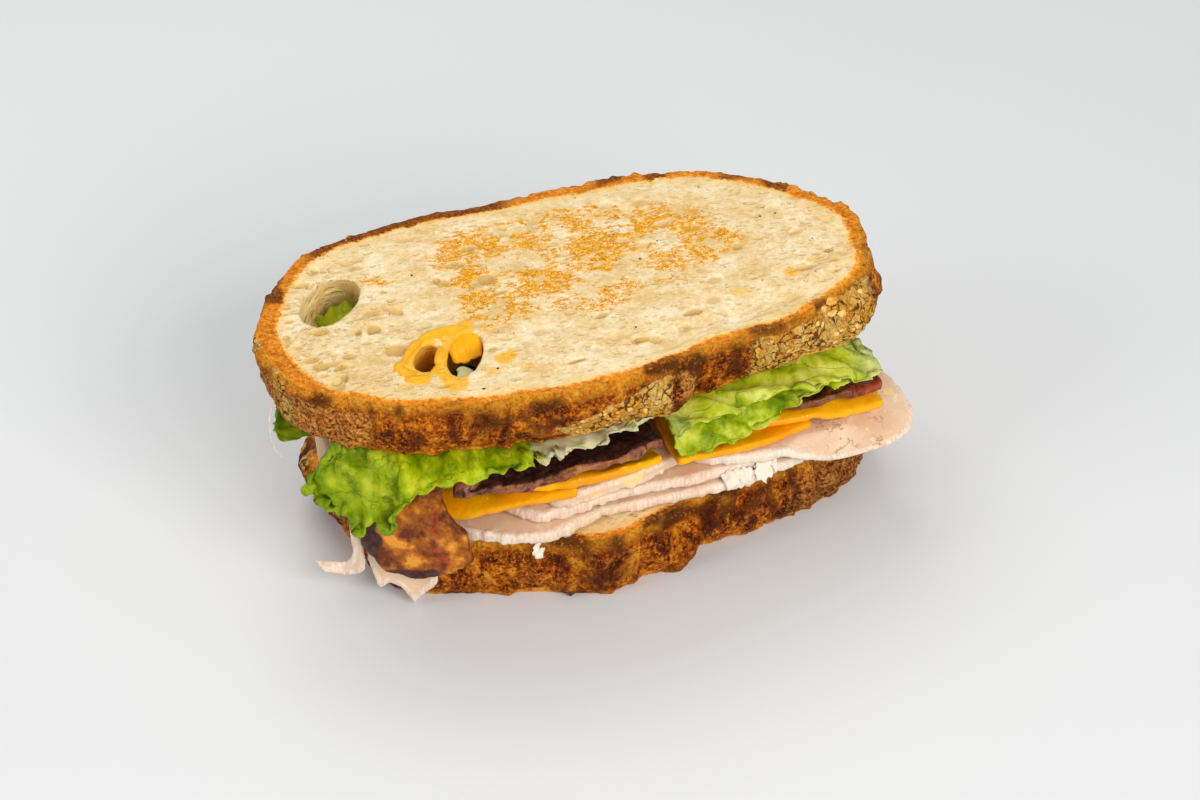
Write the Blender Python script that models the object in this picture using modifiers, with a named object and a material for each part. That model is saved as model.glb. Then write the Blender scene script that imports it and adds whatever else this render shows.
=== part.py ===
"""A turkey, bacon, cheddar and lettuce sandwich on country bread.

Built in metres, +Z up, lying on its lower slice, with the origin under the middle of its box.
The dimensions and the helpers are in millimetres. The layers are laid from the bottom up: each one
settles on a height map of what is already stacked, and droops where it passes the edge of the bread.
"""

import math

import bmesh
import bpy
import numpy as np
from mathutils import Vector, noise

# Driving dimensions, in millimetres
MM = 0.001
GAP = 0.35                # air kept between pieces that touch
LOWER_TOP = 19.3          # upper face of the lower slice
UPPER_REST = 49.6         # lower face of the upper slice
UPPER_TOP = 67.0          # upper face of the upper slice
UPPER_THICK = UPPER_TOP - UPPER_REST
CRUST_UNDERCUT = 4.2      # how far the upper slice's crust draws in towards its lower face
TURKEY = 3.0              # thickness of a slice of turkey
TURKEY_FOLDED = 4.4       # a slice of turkey doubled on itself
CHEESE = 2.8
BACON = 2.5
LEAF = 0.9
SHRED = 1.2               # thin torn ends of turkey

# Outline of each slice of bread, from its right-hand end round the back to the left and the front
UPPER_OUTLINE = (
    (84, -6), (80.2, 11), (65, 31), (42, 43), (8, 44.2), (-32, 41.6), (-58, 36.3), (-74, 20.5),
    (-82, -2), (-76, -24), (-52, -40), (-16, -46.2), (12, -43.5), (26, -39), (52, -34.5), (74, -26),
)
LOWER_OUTLINE = (
    (84, -5), (78, 16), (62, 33), (38, 42), (0, 42), (-32, 41.5), (-56, 36), (-69, 23),
    (-70, 7), (-65.5, -10), (-63.5, -19), (-55, -28.5), (-38, -36), (-20, -43), (-7, -47),
    (10, -43.5), (26, -38), (50, -33.5), (70, -26), (79.5, -17),
)

# Bubbles in the upper slice: mouth centre, radii, turn in degrees, lean right and back on the way down
BUBBLES = {
    "bubble_left": ((-60.5, 9.6), (6.6, 10.8), -36, (3, 7)),
    "bubble_front_left": ((-43.9, -22.2), (3.2, 5.9), -27, (2, 8)),
    "bubble_front_right": ((-34.8, -23.6), (4.1, 9.2), -25, (2, 10)),
    "bubble_right": ((59, -13.6), (2.8, 1.5), 0, (-3, 2)),
}

# Shallow pores in the upper slice's face: x, y, radius, depth
PORES = (
    (-66, -24, 4, 1.2), (-45, -3, 4, 1.2), (-10, 13, 5, 0.9), (-3, 2, 4, 1.2), (-24, 24, 5, 0.8),
    (33, -30, 5, 1.0), (62, 6, 5, 0.8), (-57, 26, 4, 0.9), (38, 24, 5, 0.7), (10, -28, 4, 0.7),
)


def clear_scene():
    for thing in list(bpy.data.objects):
        bpy.data.objects.remove(thing, do_unlink=True)


def material(name, colour, roughness):
    found = bpy.data.materials.get(name)
    if found:
        return found
    made = bpy.data.materials.new(name)
    made.use_nodes = True
    shader = made.node_tree.nodes["Principled BSDF"]
    shader.inputs["Base Color"].default_value = (*colour, 1)
    shader.inputs["Roughness"].default_value = roughness
    shader.inputs["Metallic"].default_value = 0
    made.diffuse_color = (*colour, 1)
    return made


def through(points, count, closed=False):
    """A smooth curve through the points, as count samples."""
    knots = np.array(points, float)
    flat = knots.ndim == 1
    if flat:
        knots = knots[:, None]
    total = len(knots)
    spans = total if closed else total - 1
    along = np.linspace(0, spans, count, endpoint=not closed)
    start = np.minimum(along.astype(int), spans - 1)
    t = (along - start)[:, None]
    a, b, c, d = (
        knots[(start + k) % total] if closed else knots[np.clip(start + k, 0, total - 1)]
        for k in (-1, 0, 1, 2)
    )
    curve = 0.5 * (2 * b + (c - a) * t + (2 * a - 5 * b + 4 * c - d) * t**2 + (3 * b - a - 3 * c + d) * t**3)
    return curve[:, 0] if flat else curve


def evenly(loop, count):
    """A closed run of points resampled at equal steps."""
    ring = np.vstack([loop, loop[:1]])
    travelled = np.concatenate([[0], np.cumsum(np.linalg.norm(np.diff(ring, axis=0), axis=1))])
    steps = np.linspace(0, travelled[-1], count, endpoint=False)
    return np.stack([np.interp(steps, travelled, ring[:, k]) for k in (0, 1)], axis=1)


def ripple(x, y, size, seed):
    """Smooth noise between about -1 and 1, with lumps of the given size."""
    x, y = np.broadcast_arrays(x, y)
    values = [noise.noise(Vector((a / size, b / size, seed))) for a, b in zip(x.ravel(), y.ravel())]
    return 2 * np.array(values).reshape(x.shape)


class Outline:
    """The rim of a slice, with its front and back edges as functions of x."""

    def __init__(self, points):
        self.rim = through(points, 400, closed=True)
        left = int(np.argmin(self.rim[:, 0]))
        self.back_run = self.rim[left::-1]
        self.front_run = self.rim[left:]

    def front(self, x):
        return np.interp(x, np.maximum.accumulate(self.front_run[:, 0]), self.front_run[:, 1])

    def back(self, x):
        return np.interp(x, np.maximum.accumulate(self.back_run[:, 0]), self.back_run[:, 1])

    def ring(self, count):
        """Points round the rim and the outward direction at each."""
        points = evenly(self.rim, count)
        tangent = np.roll(points, -2, axis=0) - np.roll(points, 2, axis=0)
        tangent /= np.linalg.norm(tangent, axis=1)[:, None]
        return points, np.stack([tangent[:, 1], -tangent[:, 0]], axis=1)


LOWER = Outline(LOWER_OUTLINE)
UPPER = Outline(UPPER_OUTLINE)


class Pile:
    """Height of what is stacked so far, on a grid of 1 mm cells."""

    HALF_X = 100
    HALF_Y = 65

    def __init__(self, outline, top):
        x, y = np.meshgrid(np.arange(-self.HALF_X, self.HALF_X), np.arange(-self.HALF_Y, self.HALF_Y))
        ends = (x > outline.rim[:, 0].min()) & (x < outline.rim[:, 0].max())
        on_bread = ends & (y > outline.front(x)) & (y < outline.back(x))
        self.height = np.where(on_bread, float(top), -1000.0)

    def under(self, place, reach_x, reach_y):
        """Greatest height within reach of each place."""
        found = np.empty(place.shape[:2])
        for k in np.ndindex(found.shape):
            x0 = int(math.floor(place[k][0] - reach_x[k])) + self.HALF_X
            x1 = int(math.ceil(place[k][0] + reach_x[k])) + self.HALF_X
            y0 = int(math.floor(place[k][1] - reach_y[k])) + self.HALF_Y
            y1 = int(math.ceil(place[k][1] + reach_y[k])) + self.HALF_Y
            found[k] = self.height[y0:y1 + 1, x0:x1 + 1].max()
        return found

    def add(self, surface):
        """Raise the map to a surface given as a grid of points."""
        parts = 12
        for a in np.linspace(0, 1, parts):
            for b in np.linspace(0, 1, parts):
                near = surface[:-1] * (1 - a) + surface[1:] * a
                point = (near[:, :-1] * (1 - b) + near[:, 1:] * b).reshape(-1, 3)
                column = np.rint(point[:, 0]).astype(int) + self.HALF_X
                row = np.rint(point[:, 1]).astype(int) + self.HALF_Y
                np.maximum.at(self.height, (row, column), point[:, 2])


PILE = Pile(LOWER, LOWER_TOP)


def add_object(name, mesh, collection, *materials):
    made = bpy.data.objects.new(name, mesh)
    collection.objects.link(made)
    for each in materials:
        mesh.materials.append(each)
    return made


def add_sheet(name, middle, thickness, finish):
    """A solid sheet of even thickness round a grid of points, split alike on both faces."""
    columns, rows = middle.shape[:2]
    work = bmesh.new()
    bmesh.ops.create_grid(work, x_segments=columns - 1, y_segments=rows - 1, size=1)
    work.verts.ensure_lookup_table()
    for k, vertex in enumerate(work.verts):
        vertex.co = Vector(middle[k % columns, k // columns]) * MM
    bmesh.ops.triangulate(work, faces=work.faces, quad_method="FIXED")
    mesh = bpy.data.meshes.new(name)
    work.to_mesh(mesh)
    work.free()
    made = add_object(name, mesh, PARTS, finish)
    solid = made.modifiers.new("thickness", "SOLIDIFY")
    solid.thickness = thickness * MM
    solid.offset = 0
    mesh.shade_smooth()
    return made


def stack(name, middle, thickness, finish, settled=True, ceiling=None):
    """Lay a sheet on the pile: where settled, no point is lower than what lies within its reach."""
    along, across = (np.gradient(middle, axis=k) for k in (0, 1))
    if np.any(settled):
        reach_x = 0.55 * (np.abs(along[..., 0]) + np.abs(across[..., 0]))
        reach_y = 0.55 * (np.abs(along[..., 1]) + np.abs(across[..., 1]))
        lowest = PILE.under(middle, reach_x, reach_y) + GAP + thickness / 2
        raised = np.maximum(middle[..., 2], lowest)
        middle[..., 2] = np.where(settled, raised, middle[..., 2])
    if ceiling is not None:
        middle[..., 2] = np.minimum(middle[..., 2], ceiling - GAP - thickness / 2)
    along, across = (np.gradient(middle, axis=k) for k in (0, 1))
    up = np.cross(along, across)
    up /= np.maximum(np.linalg.norm(up, axis=-1), 1e-9)[..., None]
    for side in (0.5, -0.5):
        PILE.add(middle + up * side * thickness)
    return add_sheet(name, middle, thickness, finish)


def spread(front, back, columns, rows, level, fall, lumps=(0.3, 16, 1.0)):
    """A layer between its front and back edges, level inside and meeting both edges' heights."""
    near, far = through(front, columns), through(back, columns)
    eased = 0.5 - 0.5 * np.cos(np.linspace(0, math.pi, rows))
    share = (0.75 * eased + 0.25 * np.linspace(0, 1, rows))[None, :, None]
    grid = near[:, None] * (1 - share) + far[:, None] * share
    depth = np.linalg.norm(far[:, :2] - near[:, :2], axis=1)[:, None] * share[..., 0]
    total = depth[:, -1:]
    front_pull = np.clip(1 - depth / fall, 0, 1) ** 1.7
    back_pull = np.clip(1 - (total - depth) / fall, 0, 1) ** 1.7
    size, length, seed = lumps
    height = level + size * (1 + ripple(grid[..., 0], grid[..., 1], length, seed))
    height = height + (near[:, 2:] - height) * front_pull
    grid[..., 2] = height + (far[:, 2:] - height) * back_pull * (1 - front_pull)
    return grid


def ruffle(grid, rows_in, size, length, seed):
    """Frilly margin: waves that grow towards the front and the back edge of a leaf."""
    travelled = np.cumsum(np.linalg.norm(np.gradient(grid[..., :2], axis=0), axis=-1), axis=0)
    count = grid.shape[1]
    for row in range(rows_in):
        strength = size * (1 - row / rows_in) ** 1.2
        for edge in (row, count - 1 - row):
            wave = np.sin(travelled[:, edge] * 2 * math.pi / length + seed)
            grid[:, edge, 2] += strength * wave
            grid[:, edge, 1] += 0.5 * strength * np.cos(travelled[:, edge] * 3.7 * math.pi / length + seed)
    return grid


def ribbon(spine, across, width, columns, rows, trim=(0, 0), waves=(0, 1), notch=(0, 0)):
    """A strip along a spine, spread either side of it; trim shortens its far end from edge to edge.

    The notch, from the strip's start to its end, is taken off the edge on the side it spreads towards.
    """
    cut = 1 - through(trim, rows)
    size, length = waves
    direction = Vector(across).normalized()
    lines = []
    for row, offset in enumerate(np.linspace(-0.5, 0.5, rows)):
        fine = through(spine, 200)
        travelled = np.concatenate([[0], np.cumsum(np.linalg.norm(np.diff(fine, axis=0), axis=1))])
        steps = np.linspace(0, travelled[-1] * cut[row], columns)
        line = np.stack([np.interp(steps, travelled, fine[:, k]) for k in range(3)], axis=1)
        inset = (0.5 + offset) * through(notch, columns)
        line = line + np.array(direction)[None] * (offset * width - inset)[:, None]
        line[:, 2] += size * np.sin(steps * 2 * math.pi / length + 2.2 * offset)
        lines.append(line)
    return np.stack(lines, axis=1)


def on_the_bread(grid, margin):
    """Where a grid's points lie over the lower slice, at least a margin inside its rim."""
    x, y = grid[..., 0], grid[..., 1]
    ends = (x > LOWER.rim[:, 0].min() + margin) & (x < LOWER.rim[:, 0].max() - margin)
    return ends & (y > LOWER.front(x) + margin) & (y < LOWER.back(x) - margin)


def crust_form(name, outline, low, high, draw_in, ridges, columns=104, rows=6):
    """The crust's wall as a stack of rings, rough, with its corners rounded, longer than the slice."""
    points, outward = outline.ring(columns)
    work = bmesh.new()
    rings = []
    for level in np.linspace(0, 1, rows):
        z = low + (high - low) * level
        lumps = 0.55 * ripple(points[:, 0] + 30 * level, points[:, 1], 13, low)
        grain = 0.4 * ripple(points[:, 0], points[:, 1] + 40 * level, 4.5, low + 7)
        swell = lumps + grain - draw_in(level, points)
        for x, height, width, slant in ridges:
            front = points[:, 1] < 0
            swell = swell + height * front * np.exp(-(((points[:, 0] - x - slant * level) / width) ** 2))
        ring = points + outward * swell[:, None]
        rings.append([work.verts.new(Vector((*place, z)) * MM) for place in ring])
    over = 1.0
    rings.insert(0, [work.verts.new(v.co - Vector((0, 0, over * MM))) for v in rings[0]])
    rings.append([work.verts.new(v.co + Vector((0, 0, over * MM))) for v in rings[-1]])
    for below, above in zip(rings, rings[1:]):
        for k in range(columns):
            after = (k + 1) % columns
            work.faces.new((below[k], below[after], above[after], above[k]))
    work.faces.new(list(reversed(rings[0])))
    work.faces.new(rings[-1])
    mesh = bpy.data.meshes.new(name)
    work.to_mesh(mesh)
    work.free()
    return add_cutter(name, mesh, CRUST)


def add_cutter(name, mesh, finish):
    cutter = add_object(name, mesh, CUTTERS, finish)
    cutter.hide_render = True
    cutter.display_type = "WIRE"
    return cutter


def crumb_block(name, low, high, step, relief):
    """A block whose upper face is a grid, shaped by the relief in millimetres."""
    length, depth = 186, 104
    work = bmesh.new()
    bmesh.ops.create_grid(work, x_segments=round(length / step), y_segments=round(depth / step), size=0.5)
    for vertex in work.verts:
        x, y = vertex.co.x * length, vertex.co.y * depth
        vertex.co = Vector((x, y, high + relief(x, y))) * MM
    rim = [edge for edge in work.edges if edge.is_boundary]
    walls = bmesh.ops.extrude_edge_only(work, edges=rim)["geom"]
    for vertex in (part for part in walls if isinstance(part, bmesh.types.BMVert)):
        vertex.co.z = low * MM
    bmesh.ops.holes_fill(work, edges=[edge for edge in work.edges if edge.is_boundary], sides=0)
    bmesh.ops.recalc_face_normals(work, faces=work.faces)
    mesh = bpy.data.meshes.new(name)
    work.to_mesh(mesh)
    work.free()
    return add_object(name, mesh, PARTS, CRUMB)


def cut(target, cutter, operation):
    step = target.modifiers.new(cutter.name, "BOOLEAN")
    step.operation = operation
    step.object = cutter
    step.solver = "EXACT"
    step.material_mode = "TRANSFER"


def bubble(name, mouth, radii, turn, lean):
    """A leaning bubble that opens in the upper face and, where it is deep, in the lower one."""
    work = bmesh.new()
    bmesh.ops.create_uvsphere(work, u_segments=14, v_segments=9, radius=1)
    tall = 26 if radii[1] > 4 else 5
    angle = math.radians(turn)
    for vertex in work.verts:
        depth = -vertex.co.z * tall + 0.35 * tall
        swell = 1.12 + 0.12 * noise.noise(vertex.co * 1.3 + Vector((mouth[0], 0, 0)))
        x, y = vertex.co.x * radii[0] * swell, vertex.co.y * radii[1] * swell
        vertex.co = Vector((
            mouth[0] + x * math.cos(angle) - y * math.sin(angle) + lean[0] * depth / UPPER_THICK,
            mouth[1] + x * math.sin(angle) + y * math.cos(angle) + lean[1] * depth / UPPER_THICK,
            UPPER_TOP - depth,
        )) * MM
    mesh = bpy.data.meshes.new(name)
    work.to_mesh(mesh)
    work.free()
    return add_cutter(name, mesh, CRUMB)


def build_lower_slice():
    def relief(x, y):
        return 0.25 * noise.noise(Vector((x / 9, y / 9, 2.0))) - 0.15

    def draw_in(level, points):
        corner = 1.2 * max(0, level - 0.75) / 0.25 + 2.2 * max(0, 0.35 - level) / 0.35
        left_end = np.clip((-60 - points[:, 0]) / 10, 0, 1)
        return corner + left_end * np.interp(level, (0, 0.2, 0.5, 0.75, 1), (6.5, 5.5, 1, 0, 5.5))

    ridges = ((-6, 0.8, 8, 4), (15, 1.9, 2.4, 17), (22, -1.3, 2.6, 14), (38, 1.1, 3, 0), (-47, 1, 6, 3))
    slice_ = crumb_block("bread_lower", 0, LOWER_TOP, 7.4, relief)
    cut(slice_, crust_form("lower_crust_form", LOWER, 0, LOWER_TOP, draw_in, ridges, rows=7), "INTERSECT")


def build_upper_slice():
    def relief(x, y):
        height = 0.4 * noise.noise(Vector((x / 14, y / 9, 5.0))) - 0.2
        for px, py, radius, depth in PORES:
            height -= depth * math.exp(-((x - px) ** 2 + (y - py) ** 2) / (0.5 * radius**2))
        furrow = UPPER.front(x) + 9
        return height - 0.8 * math.exp(-(((y - furrow) / 3) ** 2)) * (8 < x < 60)

    def draw_in(level, points):
        corner = 0.7 * max(0, level - 0.85) / 0.15
        blunt_end = np.clip((points[:, 0] - 50) / 18, 0, 1) * np.clip((6 - points[:, 1]) / 14, 0, 1)
        leaning = 6.2 * blunt_end * max(0, level - 0.35) / 0.65
        return corner + leaning + CRUST_UNDERCUT * max(0, 0.45 - level) ** 1.4 / 0.45**1.4

    ridges = ((12, 1.5, 3.2, 11), (21, -1.5, 2.6, 3), (27, 1.1, 3.2, 1), (-20, 0.7, 6, -3), (-58, 0.7, 4, 2))
    slice_ = crumb_block("bread_upper", UPPER_REST, UPPER_TOP, 4.3, relief)
    form = crust_form("upper_crust_form", UPPER, UPPER_REST, UPPER_TOP, draw_in, ridges, rows=7)
    cut(slice_, form, "INTERSECT")
    for name, shape in BUBBLES.items():
        cut(slice_, bubble(name, *shape), "DIFFERENCE")


def build_turkey():
    front = (
        (-58, -17.5, 21), (-48, -29, 20.6), (-38, -37.6, 18.6), (-27, -43, 20.4), (-18, -44, 21.2),
        (-6, -39.5, 21.2), (10, -39.5, 21.2), (26, -39.8, 21.2), (42, -37, 20), (58, -32, 19.6),
        (72, -25, 20), (82, -12, 21),
    )
    back = ((-58, 22, 21), (-40, 40, 20), (0, 40, 21), (40, 43.5, 19.5), (66, 31, 20.6), (81, 12, 21))
    stack("turkey_lower", spread(front, back, 16, 8, 21, 10), TURKEY, MEAT)

    flap = ((-46.5, -15, 24), (-51.5, -25, 24), (-55, -30.9, 20.5), (-55.4, -31.7, 13), (-55.6, -31.9, 1.2))
    grid = ribbon(flap, (0.86, -0.51, 0), 18, 9, 7, trim=(0.3, 0.08, 0.14, 0.11, 0, 0.09, 0.19))
    stack("turkey_flap", grid, SHRED, MEAT, settled=on_the_bread(grid, -1.5))

    shred = ((-58, -14, 24.6), (-62.2, -20.5, 25), (-65.4, -25.6, 21), (-65.2, -27.2, 14), (-66.2, -25.8, 10),
             (-69.8, -22.8, 8.4), (-74.6, -21.6, 9.4))
    grid = ribbon(shred, (0.5, -0.6, -0.6), 4.4, 13, 3)
    stack("turkey_shred", grid, SHRED, MEAT, settled=on_the_bread(grid, -1.5))

    front = (
        (-44, -6, 24), (-35, -24, 24), (-27, -35.5, 23.4), (-21, -40.4, 23.8), (-11, -39.5, 24.6),
        (6, -37.5, 24.6), (24, -38.6, 24.2), (42, -35.5, 23), (58, -31, 22.6), (72, -24, 23), (82, -12, 24),
    )
    back = ((-46, 18, 24), (-32, 37, 24), (2, 43, 22), (40, 40, 24), (70, 29, 23), (80, 10, 24))
    stack("turkey_middle", spread(front, back, 15, 8, 24, 10), TURKEY, MEAT)

    fold = ((-42, -1, 27.4), (-54, -1, 27.2), (-64, -2, 28), (-68.4, -3, 33.4), (-65, -3, 39), (-57, -2, 39.4))
    grid = ribbon(fold, (0.15, 1, 0), 25, 14, 5)
    stack("turkey_fold", grid, 1.9, MEAT, settled=grid[..., 2] < 30)

    front = (
        (-40, -18, 28), (-29, -27, 28.4), (-20, -36.5, 28.2), (-15, -40.8, 27.8), (-6, -40, 27.8),
        (6, -38, 28.2), (18, -34, 29),
    )
    back = ((-40, 22, 28), (-26, 33, 28), (-14, 37, 28), (-6, 38, 28), (4, 38, 27), (10, 36, 28), (16, 32, 28))
    stack("turkey_upper_left", spread(front, back, 12, 7, 29.2, 12), TURKEY_FOLDED, MEAT)

    front = (
        (22, -33.5, 28), (30, -37.8, 26.6), (42, -39, 24.4), (54, -38.6, 22.4), (66, -37, 20.8),
        (76, -35, 20.6), (83, -32.4, 21.8), (86, -28, 24.4),
    )
    back = ((22, 34, 27), (34, 39, 26), (46, 41, 25), (56, 38, 25), (66, 31, 25), (74, 22, 25),
            (77, 11, 26), (78, 1, 27))
    stack("turkey_upper_right", spread(front, back, 14, 9, 28.4, 13), TURKEY, MEAT)


def build_cheese():
    slices = {
        "cheese_lower_left": (
            ((-46, -34.5, 25), (-38, -38, 27.6), (-30, -41, 29.6), (-22, -43.6, 32), (-13, -45.5, 34.2)),
            ((-49, 33, 28.6), (-40, 36, 29), (-31, 38, 30), (-21, 40, 31), (-10, 41, 31)), 32, 15),
        "cheese_upper_left": (
            ((-32, -40, 33.4), (-22, -44, 35), (-12, -46.5, 37.6), (-2, -46.8, 39), (10, -44, 38.4)),
            ((-30, 30, 35), (-19, 33, 35), (-8, 36, 35), (3, 37, 35), (12, 34, 35)), 34.6, 12),
        "cheese_lower_right": (
            ((14, -42.5, 34.4), (24, -41, 32.6), (34, -39.2, 31.6), (44, -37.5, 31), (54, -35.4, 31)),
            ((16, 41, 30), (26, 42, 30), (37, 41, 29.6), (47, 38, 29.4), (58, 33, 29)), 32, 12),
        "cheese_upper_right": (
            ((38, -35, 35.4), (47, -36.6, 34.4), (56, -36, 33), (65, -34.8, 32.4), (75.5, -32, 32.2)),
            ((38, 36, 34), (47, 35, 34), (56, 32, 33), (65, 26, 32), (73, 14, 32)), 34.4, 14),
    }
    for name, (front, back, level, fall) in slices.items():
        stack(name, spread(front, back, 8, 8, level, fall, lumps=(0.1, 20, 3)), CHEESE, CHEDDAR)


def build_bacon():
    flap = ((-41, -8, 38), (-46.5, -21, 38.4), (-50.4, -30, 37.6), (-52, -35.4, 33),
            (-52.4, -36.4, 25), (-52.6, -36.6, 11.5))
    grid = ribbon(flap, (0.88, -0.47, 0), 28, 15, 7, trim=(0.16, 0.05, 0, 0, 0, 0.08, 0.14), waves=(0.7, 17),
                  notch=(0, 0, 0, 1, 6.5, 6, 1, 0))
    stack("bacon_left", grid, BACON, RASHER, settled=on_the_bread(grid, -1.5))

    strips = {
        "bacon_front": (
            ((-44, -41, 38), (-34, -44, 38), (-24, -46, 40), (-12, -46.8, 42.6), (0, -46, 42.8),
             (10, -42, 42)),
            ((-36, -16, 42), (-25, -19, 43), (-14, -20, 43.5), (-4, -20, 43), (4, -19, 43), (12, -16, 42))),
        "bacon_right": (
            ((32, -33, 40), (44, -35.5, 40), (54, -36, 39.6), (62, -35.5, 39.2), (68, -34.5, 38.8),
             (74, -32.5, 38.4)),
            ((30, -8, 39), (42, -9, 39.6), (54, -9, 38.6), (64, -9, 38), (72, -10, 38), (76, -12, 37))),
        "bacon_back_left": (
            ((-42, 14, 40), (-28, 6, 40.6), (-8, 6, 41), (10, 8, 40)),
            ((-36, 36, 39), (-20, 34, 41), (-4, 36, 40), (12, 38, 38))),
        "bacon_back_right": (
            ((13, 4, 39), (32, 6, 40), (48, 5, 39), (64, 2, 37)),
            ((15, 33, 39), (33, 34, 40), (50, 31, 38.6), (68, 23, 37))),
    }
    for name, (front, back) in strips.items():
        grid = spread(front, back, 13, 5, 38.7, 10, lumps=(0.4, 11, 4))
        grid[..., 2] += 0.7 * np.sin(grid[..., 0] * 2 * math.pi / 19)
        stack(name, grid, BACON, RASHER)


def build_lettuce():
    front = ((-80.5, -8, 46), (-79, -13.5, 43.6), (-71, -15, 46), (-58, -10, 44), (-44, -3, 44), (-34, 4, 44))
    back = ((-78, -4, 47.4), (-74, 8, 46.5), (-66, 21, 45), (-54, 32, 43), (-40, 38.5, 43), (-28, 38, 44))
    leaf = ruffle(spread(front, back, 11, 7, 42.6, 8, lumps=(0.7, 12, 6)), 3, 0.7, 11, 0.4)
    stack("lettuce_back_left", leaf, LEAF, GREEN, ceiling=UPPER_REST)

    front = ((-18, 4, 44), (4, -4, 44), (28, 0, 44), (52, 0, 44), (70, 2, 43))
    back = ((-22, 45, 40), (4, 47.5, 39), (34, 47, 37), (56, 40, 37), (74, 24, 38))
    leaf = ruffle(spread(front, back, 15, 8, 42.8, 12, lumps=(0.8, 12, 8)), 3, 1.3, 13, 1.1)
    stack("lettuce_back", leaf, LEAF, GREEN, ceiling=UPPER_REST)

    front = ((12.5, -45, 36), (22, -43.4, 37.5), (33, -41.4, 38.8), (44, -39.4, 41.6), (54, -37, 44),
             (64, -35, 43), (72, -31, 40))
    back = ((14, -8, 44), (26, -9, 44), (38, -10, 44), (48, -10, 44), (55, -10, 43), (61, -10, 43), (66, -10, 43))
    leaf = ruffle(spread(front, back, 15, 8, 43.2, 10, lumps=(0.5, 12, 9)), 2, 0.6, 12, 0.2)
    stack("lettuce_right_lower", leaf, LEAF, GREEN, ceiling=UPPER_REST)

    front = ((12, -45.5, 46), (22, -43.8, 47.4), (32, -42, 47), (42, -40, 48.4), (52, -38.6, 47.6),
             (61, -37.5, 45.6), (69, -35.5, 42.4), (75.5, -30, 36.2))
    back = ((12, 10, 46), (22, 12, 46.5), (32, 13, 46.5), (42, 13, 46.5), (49, 11, 46), (54, 8, 45),
            (58, 4, 45), (61, -4, 45))
    leaf = ruffle(spread(front, back, 19, 9, 46.8, 11, lumps=(0.5, 13, 11)), 2, 0.6, 13, 2.0)
    stack("lettuce_right_upper", leaf, LEAF, GREEN, ceiling=UPPER_REST)

    front = ((-78.5, -24.5, 36.6), (-75.2, -29.2, 37), (-71.2, -33, 35.4), (-68, -37, 31.6), (-64.6, -39, 33.4),
             (-61.4, -40, 30.6), (-59, -41, 38), (-54, -42.5, 41), (-46, -44.5, 44), (-36, -46, 45.6), (-26, -46, 47.6),
             (-14, -45.5, 48.3), (0, -43, 48.4), (11, -40, 48.4))
    back = ((-60, -26, 47.4), (-58, -18, 47), (-57, -6, 47), (-55, 6, 47), (-52, 16, 47), (-48, 24, 47), (-44, 26, 47),
            (-38, 24, 47), (-32, 18, 47), (-24, 12, 47), (-16, 6, 47), (-6, 0, 47), (2, -8, 47), (9, -16, 47))
    leaf = spread(front, back, 27, 9, 46.9, 11, lumps=(0.6, 14, 15))
    stack("lettuce_left", ruffle(leaf, 3, 0.5, 9, 2.4), LEAF, GREEN, ceiling=UPPER_REST)


def stand_at_origin():
    """Hang every part from one empty, moved so that the middle of the box's foot is the origin."""
    bpy.context.view_layer.update()
    scene = bpy.context.evaluated_depsgraph_get()
    corners = np.array([
        corner for part in PARTS.objects for corner in part.evaluated_get(scene).bound_box
    ])
    low, high = corners.min(axis=0), corners.max(axis=0)
    root = bpy.data.objects.new("sandwich", None)
    PARTS.objects.link(root)
    for thing in [*PARTS.objects, *CUTTERS.objects]:
        if thing is not root:
            thing.parent = root
    root.location = (-(low[0] + high[0]) / 2, -(low[1] + high[1]) / 2, 0)


clear_scene()
PARTS = bpy.data.collections.new("turkey_bacon_sandwich")
CUTTERS = bpy.data.collections.new("cutting_forms")
for group in (PARTS, CUTTERS):
    bpy.context.scene.collection.children.link(group)
CRUST = material("crust", (0.36, 0.15, 0.045), 0.75)
CRUMB = material("crumb", (0.78, 0.64, 0.40), 0.9)
MEAT = material("turkey", (0.80, 0.60, 0.47), 0.5)
CHEDDAR = material("cheddar", (0.88, 0.42, 0.03), 0.4)
RASHER = material("bacon", (0.24, 0.06, 0.03), 0.35)
GREEN = material("lettuce", (0.33, 0.55, 0.06), 0.45)
build_lower_slice()
build_turkey()
build_cheese()
build_bacon()
build_lettuce()
build_upper_slice()
stand_at_origin()
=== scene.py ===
"""The looks of a turkey bacon sandwich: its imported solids, dressed as bread, meat, cheese, bacon and leaf."""

import math

import bmesh
import bpy
import numpy as np
from mathutils import Euler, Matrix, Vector, kdtree
from mathutils.bvhtree import BVHTree


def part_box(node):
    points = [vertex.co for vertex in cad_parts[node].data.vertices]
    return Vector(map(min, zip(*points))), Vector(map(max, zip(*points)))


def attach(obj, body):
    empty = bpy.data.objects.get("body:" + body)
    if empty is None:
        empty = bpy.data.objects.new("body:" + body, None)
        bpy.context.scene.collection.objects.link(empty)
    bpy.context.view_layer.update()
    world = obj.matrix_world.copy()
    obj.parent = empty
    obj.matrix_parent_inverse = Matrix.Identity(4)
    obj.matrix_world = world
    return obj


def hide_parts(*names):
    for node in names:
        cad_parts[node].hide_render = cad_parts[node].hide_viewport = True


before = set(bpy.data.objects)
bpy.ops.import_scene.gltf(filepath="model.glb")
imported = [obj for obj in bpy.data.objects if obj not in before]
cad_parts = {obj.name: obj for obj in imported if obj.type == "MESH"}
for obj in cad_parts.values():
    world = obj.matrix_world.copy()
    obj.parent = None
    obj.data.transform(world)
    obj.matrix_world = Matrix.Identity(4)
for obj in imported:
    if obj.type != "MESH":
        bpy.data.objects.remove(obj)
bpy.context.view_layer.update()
MM = 0.001

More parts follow.
